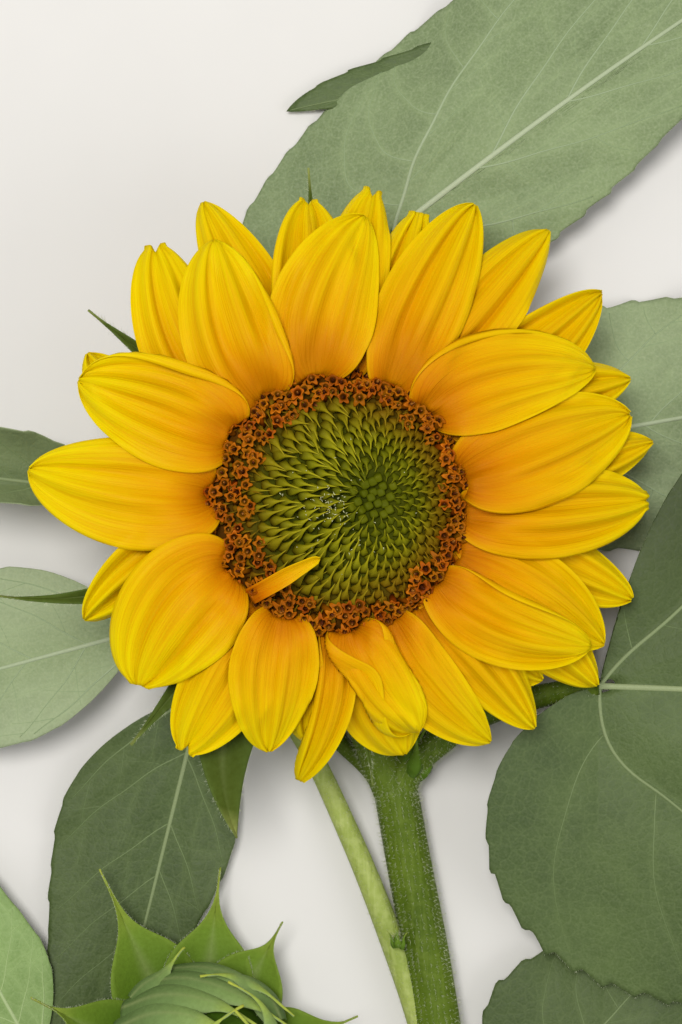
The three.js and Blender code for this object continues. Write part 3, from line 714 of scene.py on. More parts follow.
def settled(grid, heap):
    """The grid laid on the heap, raised smoothly where something lies under it."""
    own = heap.needed(grid)
    for _ in range(3):
        own = mix(own, around_mean(own), 0.7)
    own[0] = 0
    rise = own.copy()
    for _ in range(160):
        rise = np.maximum(own, 0.995 * around_mean(rise))
        rise[0] = 0
    grid = grid.copy()
    grid[..., 2] += rise
    heap.add(grid)
    return grid


def petal(name, grid, groove, tone, replaces, span=1.0):
    """One ray floret as a thin closed sheet that thins towards its margin."""
    rows, columns = grid.shape[:2]
    v = steps(columns, -1, 1)[None]
    # The painted shade of the grooves and the throat rides on the sheet as a named number.
    pile = Pile(in_bloom)
    pile.add_sheet(grid, PETAL_THICKNESS * (1 - 0.7 * np.abs(v) ** 6), along=steps(rows)[:, None],
                   across=span * v, tone=tone, groove=groove)
    piece(name, pile, [PETAL], [replaces])


def stray_petal():
    """One small ray floret that bends in over the disc."""
    rows, columns = 28, 13
    u, v = steps(rows), steps(columns, -1, 1)[None]
    line, along = bezier((*polar(225.3, DISC_RADIUS + 1), 4.9), (*polar(229, 24), 15),
                         (*polar(243.4, 15.2), 12.5), u)
    side = unit(np.stack([-along[:, 1], along[:, 0], np.zeros(rows)], 1))
    half = (2.1 - 0.6 * ease(u, 0.5, 0.9))[:, None] * np.sqrt(1 - 0.97 * u[:, None] ** 14)
    grid = swept(line, side, half * v)
    grid[..., 2] += 1.8 * v * v - 1.6 * np.maximum(-v, 0) ** 2 * ease(u[:, None], 0.3, 0.7)
    grid[..., 2] += 1.5 * ease(u[:, None], 0.9, 1)
    # Painted shade down the petal's hollowed middle.
    groove = 0.6 * np.exp(-((v / 0.3) ** 2))
    petal("stray_petal", grid, groove, 1.3, "ray_stray", span=0.2)


def petals():
    heap = Heap()
    for n, (whorl, tip, reach, root, width, more) in enumerate(RAYS):
        ray = {**whorl, "tip": tip, "reach": reach, "root": root, "width": width, **more}
        rng = np.random.default_rng(RAY_SEED + n)
        grid, groove = free_ray(ray, rng)
        grid = settled(grid, heap)
        turn = math.radians(tip)
        orange = 0.3 + 0.33 * math.cos(turn) + 0.15 * math.sin(turn) + 0.25 * rng.uniform()
        petal(f"petal_{n + 1:02d}", grid, groove, orange, f"ray_{n + 1:02d}")
    stray_petal()


# Disc

SCALES, RING_FLORETS = 440, 580  # each counted as if it filled the whole disc
RING_SHARE, RING_SHARE_LEFT = 0.86, 0.8
CONVERGENCE = np.array([8.0, 1.3, 0])
RIM_FLORETS = 66
SPECKS = 110
DISC_SEED = 7
BED_SIDES = 96
FLORET_HINT = (0.3, 0.8, 0.1)
# The rings of a corolla, from its foot up, over its lobes and down into its throat: radius, how
# far the lobes spread, height, how far the lobes droop, and shade.
COROLLA_RINGS = [
    (0.46, 0, 0, 0, 0.1), (0.5, 0, 0.5, 0, 0.4), (0.6, 0, 0.8, 0, 0.62),
    (0.68, 0.45, 0.97, 1, 1.0), (0.64, 0.42, 1.03, 1, 0.9), (0.52, 0.1, 0.94, 0, 0.62),
    (0.44, 0, 0.84, 0, 0.25), (0.3, 0, 0.66, 0, 0.0),
]


def disc_height(radius):
    """The height of the disc's face at a distance from its middle."""
    share = np.minimum(np.asarray(radius) / DISC_RADIUS, 1)
    return 2.6 + 3.4 * np.sin(math.pi * np.minimum(1, 0.22 + 0.68 * share**1.6))


def horn(pile, foot, up, lean, size, tall, tone, sides=10, rings=12, long=1.15, rust=0.0):
    """A scale with a swollen foot that leans over to a long thin tip."""
    t = steps(rings)
    side = unit(np.cross(up, lean))
    line = foot + up * (tall * np.sin(1.3 * t))[:, None] + lean * (long * tall * t**1.5)[:, None]
    slim = ease(long, 1.2, 2)
    swollen = 0.88 * np.exp(-(((t - mix(0.2, 0.32, slim)) / mix(0.22, 0.38, slim)) ** 2))
    width = size * (swollen + mix(0.4, 0.3, slim) * (1 - t) ** 0.8 + 0.03)
    ridged = lambda a: 1 + 0.13 * np.cos(5 * a)
    hint = np.cross(side, up) + 0.01 * side
    points, faces, _ = tube(line, width, sides, 0.7, side_hint=hint, ribs=ridged)
    pile.add(points, faces, along=ringed(t, sides, 0, 1), tone=tone, near=rust)


def blunt_bud(pile, foot, up, size, tall, tone):
    """A young scale at the middle of the disc: a rounded peg with a small dimple."""
    profile = np.array([(0.8, 0), (1.0, 0.35), (1.0, 0.72), (0.9, 0.88), (0.6, 0.98), (0.12, 0.95)])
    line = foot + up * (tall * profile[:, 1])[:, None]
    hint, _ = sides_of(up, FLORET_HINT)
    square = lambda a: 1 + 0.11 * np.cos(4 * a) + 0.05 * np.cos(a + foot[0])
    points, faces, _ = tube(line, size * profile[:, 0], 12, side_hint=hint, ribs=square)
    pile.add(points, faces, along=ringed(profile[:, 1] * 0.62, 12, 0, 0.4), tone=tone)


def open_floret(pile, foot, up, size, tall, spin, rng):
    """A five-lobed corolla on its tube, with the dark column of anthers in its throat."""
    sides = 30
    angle = around(sides)
    uneven = 1 + 0.35 * np.sin(angle + rng.uniform(0, 6))
    uneven = uneven + 0.2 * np.sin(2 * angle + rng.uniform(0, 6))
    lobe = (0.5 + 0.5 * np.cos(5 * angle)) ** 0.9 * uneven
    bend = rng.uniform(0.0, 0.42)
    radius, spread, height, droop, shade = np.array(COROLLA_RINGS).T
    across, other = sides_of(up, FLORET_HINT)
    out = across * np.cos(angle + spin)[:, None] + other * np.sin(angle + spin)[:, None]
    radii = size * (radius[:, None] + spread[:, None] * lobe)
    heights = tall * (height[:, None] - droop[:, None] * (bend * lobe))
    grid = foot + out * radii[..., None] + up * heights[..., None]
    points = np.vstack([grid.reshape(-1, 3), foot, foot + up * tall * 0.66])
    pile.add(points, closed_rings(len(radii), sides),
             along=ringed(shade, sides, 0.2, 0) * rng.uniform(0.6, 1.0), tone=0.3 * rng.uniform())
    column = foot + up * (tall * steps(6, 0.6, 0.95 + 0.25 * rng.uniform()))[:, None]
    radii = size * np.array([0.2, 0.24, 0.24, 0.22, 0.2, 0.1])
    points, faces, _ = tube(column, radii, 8, side_hint=across)
    pile.add(points, faces, 1, along=ringed(steps(6), 8, 0, 1) * rng.uniform(0.5, 1.1))


def disc_bed():
    """The solid body of the disc, closed at its middle."""
    radii = np.concatenate([[0.05], steps(29, 1, DISC_RADIUS), [DISC_RADIUS, 0.05]])
    heights = np.concatenate([disc_height(radii[:30]) - 0.7, [SEAT_HEIGHT + GAP] * 2])
    grid = turned(radii, heights, BED_SIDES)
    bed = Pile(in_bloom)
    points = np.vstack([grid.reshape(-1, 3), [(0, 0, heights[0]), (0, 0, heights[-1])]])
    bed.add(points, closed_rings(len(radii), BED_SIDES),
            along=ringed(radii / DISC_RADIUS, BED_SIDES, 0, 0))
    piece("disc_bed", bed, [DISC_BED], ["disc"])


def disc_place(share, turn):
    """The foot of the floret at a share of the radius, its outward direction and its up."""
    out = np.array([math.cos(turn), math.sin(turn), 0])
    radius = share * (DISC_RADIUS - 1.2)
    slope = (disc_height(radius + 0.1) - disc_height(radius - 0.1)) / 0.2
    up = unit(np.array([-slope * out[0], -slope * out[1], 1]))
    foot = out * radius + CONVERGENCE * 0.85 * (1 - share**2) ** 1.6
    foot[2] = disc_height(radius) - 1.0
    return foot, out, up


def ring_start(out):
    """The share of the radius at which the open florets begin, in the direction out."""
    return mix(RING_SHARE, RING_SHARE_LEFT, max(0.0, -out[0]) ** 1.5)


def ring_florets(scales, florets, rng):
    """The ring of open florets, each with a rusty scale beside it."""
    for n in range(RING_FLORETS):
        share = math.sqrt((n + 0.5) / RING_FLORETS)
        foot, out, up = disc_place(share, n * GOLDEN_ANGLE)
        if share > ring_start(out) - 0.02:
            tilt = unit(up + 0.2 * out * ease(share, 0.85, 1.0) + rng.normal(0, 0.26, 3))
            open_floret(florets, foot, tilt, rng.uniform(1.3, 1.85), rng.uniform(3.2, 4.8),
                        rng.uniform(0, 6), rng)
            beside = foot + 1.2 * unit(np.cross(up, out)) + 0.4 * out
            horn(scales, beside, up, unit(-out + rng.normal(0, 0.3, 3)), 0.8, rng.uniform(2.8, 3.8),
                 0.0, 6, 8, rust=1.2)


def green_scales(scales, rng):
    """The scales inside the ring, which lean towards a place right of the disc's middle."""
    for n in range(SCALES):
        share = math.sqrt((n + 0.5) / SCALES)
        foot, out, up = disc_place(share, n * GOLDEN_ANGLE)
        if share > ring_start(out) + 0.01:
            continue
        foot = foot + np.append(rng.normal(0, 0.24, 2), 0)
        to_middle = CONVERGENCE - foot
        distance = math.hypot(to_middle[0], to_middle[1])
        inward = unit(to_middle - up * np.dot(to_middle, up) + 1e-6)
        fresh = 0.9 * (1 - ease(distance, 3, 17))
        if distance < 6.5:
            blunt_bud(scales, foot, unit(up + 0.3 * inward + rng.normal(0, 0.09, 3)),
                      rng.uniform(1.1, 1.28), rng.uniform(2.0, 2.8), fresh)
            continue
        left = ease(to_middle[0], -6, 14)
        rust = ease(share, 0.5, 0.84) * mix(1.1, 0.55, left)
        size = mix(1.0, 1.25, ease(distance, 6, 20)) * rng.uniform(0.86, 1.1)
        tall = mix(2.6, 3.6, ease(distance, 6, 18)) * rng.uniform(0.85, 1.15)
        bend = unit(inward + rng.normal(0, 0.18, 3)) * mix(0.75, 1.0, left)
        horn(scales, foot, up, bend, size, tall, fresh + 0.1 * rng.uniform(),
             long=mix(1.2, 1.5, left) * rng.uniform(0.9, 1.1), rust=rust)


def rim_florets(florets, rng):
    """Open florets that lean out over the disc's rim."""
    for n in range(RIM_FLORETS):
        turn = 2 * math.pi * (n + rng.uniform(-0.25, 0.25)) / RIM_FLORETS
        _, out, up = disc_place(1.0, turn)
        foot = out * (DISC_RADIUS - 0.9) + np.array([0, 0, rng.uniform(1.2, 2.4)])
        open_floret(florets, foot, unit(up + rng.uniform(0.7, 1.1) * out), rng.uniform(1.5, 1.9),
                    rng.uniform(2.6, 3.5), rng.uniform(0, 6), rng)


def pollen(rng):
    """Pale specks scattered over the scales, most of them near the disc's middle."""
    spread = np.where(np.arange(SPECKS) % 2, 2.0, 8.0)
    spots = rng.normal(0, 1, (SPECKS, 2)) * spread[:, None] + np.array([-2.5, -0.8])
    heights = disc_height(np.linalg.norm(spots, axis=1)) + rng.uniform(1.8, 2.6, SPECKS)
    specks = Pile(in_bloom)
    spikes(specks, np.column_stack([spots, heights]), rng.normal(0, 1, (SPECKS, 3)),
           rng.uniform(0.4, 1.1, SPECKS), 0.15)
    piece("pollen_specks", specks, [SPECK])


def disc():
    """The disc: its bed, the green scales round its middle and the open florets."""
    rng = np.random.default_rng(DISC_SEED)
    scales, florets = Pile(in_bloom), Pile(in_bloom)
    disc_bed()
    ring_florets(scales, florets, rng)
    green_scales(scales, rng)
    rim_florets(florets, rng)
    piece("disc_scales", scales, [SCALE], ["disc"])
    piece("disc_florets", florets, [FLORET, ANTHER], ["disc"])
    pollen(rng)


# Receptacle and bracts

# The bracts that show past the ray florets: tip angle, reach, width and the tip's height. swing
# is how many degrees a bract turns on its way out, and taper how fast it narrows.
SHOWN_BRACTS = [
    {"tip": 254.4, "reach": 88, "width": 22, "height": -12, "taper": 0.88, "swing": 16},
    {"tip": 230, "reach": 79, "width": 12, "height": -9},
    {"tip": 195, "reach": 88, "width": 9, "height": -9, "swing": -10},
    {"tip": 142, "reach": 78, "width": 9, "height": -8},
    {"tip": 94, "reach": 85, "width": 9, "height": -8},
    {"tip": 279, "reach": 73, "width": 8, "height": -12},
]
INNER_BRACTS = 11
CUP_BRACTS = 19
CUP_SIDES = 72
RECEPTACLE_SEED = 11


def drawn_out(u, taper):
    """A bract's width at u, as a share of its widest: broad below, drawn out to a point."""
    return (1 - u) ** taper * (1 + 1.25 * u)


def shouldered(u, middle):
    """The width of a bract that narrows all at once about its middle to a thin tail."""
    return (1 - 0.3 * u) / (1 + np.exp((u - middle) / 0.085))


def bract(pile, hairs, rng, angle, line, width, taper=1.35, turn=0.0, hollow=2.0, curl=0.0,
          rows=30, columns=11, fringe=1.5, shape=drawn_out):
    """A pointed hairy bract that follows a line in the plane of its own angle."""
    u, v = steps(rows), steps(columns, -1, 1)[None]
    at, _ = bezier(*line, u)
    half = np.maximum(width / 2 * shape(u, taper), 0.4 * (1.4 - u))[:, None]
    heading = (angle + turn * u * u)[:, None]
    ripple = 0.35 * np.sin(u * rng.uniform(14, 22) + rng.uniform(0, 6))[:, None] * np.abs(v) ** 2
    height = at[:, 1:] + hollow * v * v * (1 - u[:, None]) + ripple
    height = height - 0.35 * np.exp(-((v / 0.18) ** 2))
    height = height + curl * (u[:, None] ** 3) * v
    x = at[:, :1] * np.cos(heading) - np.sin(heading) * half * v
    y = at[:, :1] * np.sin(heading) + np.cos(heading) * half * v
    grid = np.stack([x, y, height], -1)
    # Painted highlight: the tone pales the margins of the hollowed bract.
    pile.add_sheet(grid, BRACT_THICKNESS * (1 - 0.6 * v**4), along=u[:, None],
                   tone=rng.uniform(0, 0.25) + 0.5 * v**6,
                   near=np.exp(-((v / 0.14) ** 2)) * (1 - u[:, None]))
    along = unit(np.gradient(grid, axis=0))
    for column, sign in ((0, -1), (columns - 1, 1)):
        count = int(3 * rows)
        row = rng.uniform(1, rows - 2, count)
        low = row.astype(int)
        root = mix(grid[low, column], grid[low + 1, column], (row - low)[:, None])
        out = sign * unit(np.gradient(grid, axis=1))[low, column]
        aim = out + 0.8 * along[low, column] + rng.normal(0, 0.35, (count, 3))
        spikes(hairs, root, aim, fringe * rng.uniform(0.4, 1.1, count), 0.045)


def receptacle():
    """The shallow cup behind the disc, with its rows of bracts."""
    rng = np.random.default_rng(RECEPTACLE_SEED)
    pile, hairs = Pile(in_bloom), Pile(in_bloom)
    outline = np.array([
        (0.05, -RECEPTACLE_DEPTH), (7.5, -RECEPTACLE_DEPTH), (11, SEAT_HEIGHT - 16),
        (21, SEAT_HEIGHT - 13), (30, SEAT_HEIGHT - 8), (33.5, SEAT_HEIGHT - 4),
        (32.5, SEAT_HEIGHT - 1), (0.05, SEAT_HEIGHT - 0.6),
    ])
    at = steps(60, 0, len(outline) - 1)
    outline = np.stack([np.interp(at, np.arange(len(outline)), outline[:, k]) for k in (0, 1)], 1)
    grid = turned(*outline.T, CUP_SIDES)
    pile.add(grid, [grid_quads(len(outline), CUP_SIDES, wrapped=True)[:, ::-1]], along=0.2)
    for spec in SHOWN_BRACTS:
        reach, swing = spec["reach"], spec.get("swing", 0)
        bract(pile, hairs, rng, math.radians(spec["tip"] - swing),
              [(27, -8), (reach * 0.62, -9), (reach, spec["height"])], spec["width"],
              spec.get("taper", 1.35), math.radians(swing), curl=rng.uniform(-1.5, 1.5), rows=44)
    for n in range(INNER_BRACTS):
        reach = 58 + 7 * math.sin(2.4 * n)
        bract(pile, hairs, rng, math.radians(8 + n * 360 / INNER_BRACTS),
              [(24, -10.5), (reach * 0.62, -14), (reach, -17 - 2 * math.cos(3.1 * n))], 14)
    for n in range(CUP_BRACTS):
        deep = n % 2
        bract(pile, hairs, rng, math.radians(n * 360 / CUP_BRACTS + rng.uniform(-4, 4)),
              [(12 + 6 * deep, -17.6 + 2.4 * deep), (30, -16.5), (43 + rng.uniform(-3, 3), -10)],
              12, curl=rng.uniform(-1, 1), rows=24)
    piece("receptacle_and_bracts_dressed", pile, [BRACT], ["receptacle_and_bracts"])
    piece("bract_hairs", hairs, [HAIR])


# Limbs

# Each limb: the points that it passes through and its radii at both ends. root is where it starts
# inside the limb that carries it.
STEM = {
    "through": [STEM_FOOT, (29.5, -160, 6.7), (24, -122, 6.5), (19.5, -98, 6.4), (15.5, -76, 6.8)],
    "radii": (6.7, 5.9),
}
FORK_ARMS = [
    {"through": [(15.5, -78, 6.8), (11, -68, 7.4), (7, -58, 8.4)], "radii": (5.4, 4.6)},
    {"through": [(15.5, -78, 6.8), (20, -69, 9), (30, -60.5, 12)], "radii": (5, 3.9)},
]
SIDE_SHOOT = {
    "through": [(32, -184, 6.6), (8, -182, 6.5), (-14, -177, 6.4), (-30, -171, 6.6), (-37, -163, 8),
                (-37.7, -155, 10.5)],
    "radii": (4.4, 3.6),
}
NECK = {
    "root": [(9, -64, 7.8)],
    "through": [(6.85, -57.7, 8.43), (3, -46, 9.6), (-1, -28, 12.5), (-4, -10, 18),
                tuple(in_bloom((0, 0, -RECEPTACLE_DEPTH - 5))),
                tuple(in_bloom((0, 0, -RECEPTACLE_DEPTH - GAP)))],
    "radii": (4.6, 6.2),
}
LIMB_SEED = 21
CUT_SIDES = 48
HAIR_LIFT = 0.35  # the least height of a hair's tip above the plane on which the plant lies


def limb(pile, hairs, spec, rng, density, hair=1.5, sides=26, flare=0.0):
    """A ribbed, hairy limb through the given points, which tapers from one radius to the other."""
    rough_length = sum(math.dist(a, b) for a, b in zip(spec["through"], spec["through"][1:]))
    count = max(8, int(rough_length / 1.1))
    line = smooth_line(spec.get("root", []) + spec["through"], count)
    share = steps(count)
    radii = mix(*spec["radii"], share) * (1 + flare * np.exp(-share * rough_length / 4))
    phase = rng.uniform(0, 6)
    ribs = lambda a: 1 + 0.026 * np.cos(8 * a + phase) + 0.014 * np.cos(13 * a - phase)
    points, faces, out = tube(line, radii, sides, ribs=ribs)
    points[:, 2] = np.maximum(points[:, 2], 0.05)
    pile.add(points, faces, along=ringed(share, sides, 0, 1))
    amount = int(density * rough_length * 2 * math.pi * spec["radii"][0] / 4)
    ring, side = rng.integers(0, count, amount), rng.integers(0, sides, amount)
    normal = out[ring, side]
    roots = points[:count * sides].reshape(count, sides, 3)[ring, side]
    along = unit(np.gradient(line, axis=0))[ring]
    aim = unit(normal + 0.45 * along * rng.normal(0, 1, (amount, 1)) + rng.normal(0, 0.2, (amount, 3)))
    lengths = hair * rng.uniform(0.35, 1.1, amount)
    clear = roots[:, 2] + aim[:, 2] * lengths > HAIR_LIFT
    spikes(hairs, roots[clear], aim[clear], lengths[clear], 0.04)


def remeshed(made, voxel, rounds):
    """Fuses a piece's overlapping tubes into one smooth skin."""
    fuse = made.modifiers.new("fuse", "REMESH")
    fuse.mode, fuse.voxel_size, fuse.use_smooth_shade = "VOXEL", voxel * MM, True
    soften = made.modifiers.new("soften", "SMOOTH")
    soften.iterations, soften.factor = rounds, 0.5
    seen = made.evaluated_get(bpy.context.evaluated_depsgraph_get())
    mesh = bpy.data.meshes.new_from_object(seen)
    made.modifiers.clear()
    made.data = mesh
    mesh.shade_smooth()


def limbs(hairs):
    rng = np.random.default_rng(LIMB_SEED)
    pile = Pile()
    for spec in (STEM, *FORK_ARMS):
        limb(pile, hairs, spec, rng, density=6, hair=1.8)
    stem = piece("stem_dressed", pile, [STEM_GREEN], ["stem"])
    remeshed(stem, 0.55, 5)
    for name, spec, flare in (("neck", NECK, 0.0), ("side_shoot", SIDE_SHOOT, 0.3)):
        pile = Pile()
        limb(pile, hairs, spec, rng, density=4, flare=flare)
        piece(f"{name}_dressed", pile, [STEM_GREEN], [name])


def cut_face():
    """The cut across the stem's foot: a green rind round pale pith."""
    line = smooth_line(STEM["through"], 60)
    along = unit(line[0] - line[1])
    across = unit(np.cross(along, np.array([0, 0, 1])))
    up = np.cross(across, along)
    radii = np.array([0.02, 2, 4, 5.2, 5.7, 6.2])
    dome = np.array([0.1, 0.12, 0.2, 0.22, 0.12, 0.02])
    angle = around(CUT_SIDES)
    out = across * np.cos(angle)[:, None] + up * np.sin(angle)[:, None]
    face = line[0] + out[None] * radii[:, None, None] + along * dome[:, None, None]
    back = line[0] - 1.0 * along + out[None] * radii[::-1, None, None]
    grid = np.concatenate([face, back])
    pile = Pile()
    share = np.repeat(np.concatenate([radii, radii[::-1]]) / radii[-1], CUT_SIDES)
    pile.add(grid, [grid_quads(2 * len(radii), CUT_SIDES, wrapped=True)], along=share)
    pith = ramped_paint("cut_pith", [
        (0.0, (0.62, 0.62, 0.45)), (0.7, (0.55, 0.57, 0.36)), (0.84, (0.26, 0.36, 0.1)),
        (1.0, (0.12, 0.2, 0.04)),
    ], 0.7, 0.1, 1500, 0.3)
    piece("stem_cut_face", pile, [pith])


def young_shoot(pile, hairs, rng, line, count, size, tall):
    """A cluster of small hairy young leaves folded round a bud's axis."""
    foot = np.array(line[0], float)
    axis = unit(np.array(line[1], float) - foot)
    across, other = sides_of(axis, (0.2, 0.1, 1.0))
    for n in range(count):
        turn = n * GOLDEN_ANGLE
        out = across * math.cos(turn) + other * math.sin(turn)
        share = n / max(count - 1, 1)
        start = foot + out * size * (1.1 - 0.7 * share) + axis * tall * 0.25 * share
        lean = unit(out * rng.uniform(0.1, 0.5) - out * 0.35 * share + rng.normal(0, 0.12, 3))
        horn(pile, start, axis, lean * 0.35, size * rng.uniform(0.7, 1.0),
             tall * rng.uniform(0.7, 1.05), rng.uniform(-0.1, 0.3))
        t = rng.uniform(0.1, 0.95, SHOOT_HAIRS)[:, None]
        roots = start + axis * tall * 0.85 * t + out * size * 0.5 * (1 - t)
        roots = roots + rng.normal(0, 0.3, (SHOOT_HAIRS, 3))
        spikes(hairs, roots, out + 0.5 * axis + rng.normal(0, 0.5, (SHOOT_HAIRS, 3)),
               rng.uniform(0.5, 1.3, SHOOT_HAIRS), 0.05)


# Leaves

# A leaf's outline, as distances from the stalk's end at equal steps of angle, from the tip to
# the lobe behind, in shares of its length.
LEAF_SHAPE = np.array([1, 0.66, 0.52, 0.44, 0.37, 0.28, 0.16, 0.03])
LEAF_HALF_WIDTH = 0.416
STRONG_VEIN = 1.1  # half the width in mm of a vein that is fully pale
VEIN_STRIDE = 0.0125  # a vein's step, as a share of the leaf's length
TOOTH_EVERY = 9.0
TOOTH_HEIGHT = 2.6
LEAF_MIDDLE = 0.45  # where along the blade its middle height holds
LEAF_ROW, LEAF_COLUMN = 4.2, 1.3  # the mesh's steps in mm, out from the stalk and along the margin
LEAF_SEED = 300

# Each leaf: where its stalk meets it, the heading of its midrib and how far that turns on the
# way to the tip, in degrees, its length, its half widths, and its heights at its foot, middle and
# tip. Pairs are for the right and the left side. sag lowers the margin, back is the angle round
# to the lobe, basal is the angle of the first vein and quickness how soon that vein bends. A full
# above 1 fills the outline out and one below 1 slims it. lobe raises the lobes, a tone above 0 is
# paler and one below 0 darker, and toothed and quilted scale the teeth and the bulges. The right
# leaf's darker left half is painted shade. A leaf that is under lies face down, and a fresh one is
# brighter. Its stalk is a limb, and some stalks are pale.
LEAVES = {
    "upper_leaf": dict(
        base=(15, 72, 12), heading=38, bend=-4, length=195, wide=(31, 33), heights=(12, 16, 2),
        sag=(3, 6), full=(0.72, 1.6), under=True, quilted=2.2,
        stalk=dict(root=[(11, -71, 7)], through=[(9, -62, 7), (17, -34, 7.5), (20, 0, 8.5),
            (18, 42, 10), (15, 72, 12)], radii=(3.4, 2.3))),
    "right_leaf": dict(
        base=(69, -48, 17), heading=-1, bend=-4, length=205, wide=(84, 84), heights=(17, 24, 2),
        sag=(10, 8), back=(166, 80), full=(1, 3), lobe=60, basal=(90, 50), quickness=(7.0, 1.6),
        # The tone darkens the half left of the midrib as painted shade.
        tone=(0, -0.5), quilted=1.5,
        stalk=dict(root=[(25, -64.5, 10.4)], through=[(30, -60.5, 12), (38, -56, 11.5),
            (54, -51, 11.5), (69, -48, 16.2)], radii=(3.9, 2.6))),
    "left_leaf": dict(
        base=(-50, -33, 15), heading=195, length=114, wide=(42, 39), heights=(15, 18, 1.5),
        back=(60, 50), full=(1.6, 1.6), under=True, basal=(46, 40), toothed=0.5, tone=(0.3, 0.3),
        stalk=dict(root=[(3, -35, 9.5)], through=[(-1, -34, 9), (-14, -32, 12), (-50, -33, 15)],
            radii=(3, 2.2))),
    "drooping_leaf": dict(
        base=(-36, -50, 7), heading=256, length=128, wide=(48, 36), heights=(7, 3.6, 0.7),
        sag=(1.5, 1.5), back=(60, 60), full=(1.6, 1), toothed=0.35, basal=(48, 48),
        tone=(-0.2, -0.2), quilted=1.6,
        stalk=dict(root=[(23, -141, 6.6), (20.5, -133, 6.9)], through=[(17, -123, 7),
            (4, -90, 7.5), (-11, -60, 8.5), (-23, -48, 8), (-36, -50, 7)], radii=(3.6, 2.2),
            pale=True)),
    "right_upper_leaf": dict(
        base=(64, 18, 6), heading=10, length=125, wide=(33, 33), heights=(6, 6, 1.4),
        sag=(2.5, 2.5), under=True, tone=(0.12, 0.12), quilted=1.6,
        stalk=dict(root=[(13, -74, 4.5)], through=[(13, -64, 3.4), (36, -36, 3.2), (53, -8, 3.4),
            (64, 18, 6)], radii=(2.8, 1.9))),
    "top_leaf": dict(
        base=(60, 112, 3.2), heading=176, bend=9, length=74, wide=(15, 5), heights=(3.2, 3.2, 2),
        sag=(0.8, 0.8),
        stalk=dict(root=[(14, -80, 4.5)], through=[(9, -72, 3.4), (-4, -58, 2.8), (-9, -34, 2.6),
            (-7, 0, 2.6), (8, 44, 2.6), (38, 92, 2.8), (60, 112, 3.2)], radii=(2.4, 1.7))),
    "lower_right_leaf": dict(
        base=(58, -158, 6), heading=2, length=128, wide=(40, 42), heights=(6, 6, 1.4),
        sag=(2.5, 2.5), tone=(-0.15, -0.15),
        stalk=dict(root=[(26, -170, 6.4)], through=[(30, -168, 6), (42, -161, 6), (58, -158, 6)],
            radii=(3.2, 2.2))),
    "lower_left_leaf": dict(
        base=(-80, -149, 5), heading=118, length=80, wide=(28, 24), heights=(5, 8, 1.4),
        sag=(2, 2), back=(55, 70), full=(1.6, 1.3), fresh=True, basal=(42, 46), toothed=0.5,
        stalk=dict(root=[(9, -179, 6.3)], through=[(2, -178, 6), (-26, -182, 5), (-62, -176, 5),
            (-80, -149, 5)], radii=(2.6, 1.8))),
    "outer_left_leaf": dict(
        base=(-76, 5, 26), heading=173, length=58, wide=(13, 6), heights=(26, 27, 18),
        sag=(-6, -5), tone=(0.35, 0.35),
        stalk=dict(root=[(2, -25, 13)], through=[(-2, -22, 12), (-24, -13, 17), (-50, -4, 22),
            (-76, 5, 26)], radii=(2.4, 1.5))),
}


def outline_reach(turn):
    """The outline's distance from the stalk's end, at a share of the way round from the tip."""
    at = np.clip(turn, 0, 1) * (len(LEAF_SHAPE) - 1)
    i = np.minimum(at.astype(int), len(LEAF_SHAPE) - 2)
    padded = np.pad(LEAF_SHAPE, 1, mode="edge")
    a, b, c, d = (padded[i + k] for k in range(4))
    return eased_between(b, c, (c - a) / 2, (d - b) / 2, at - i)


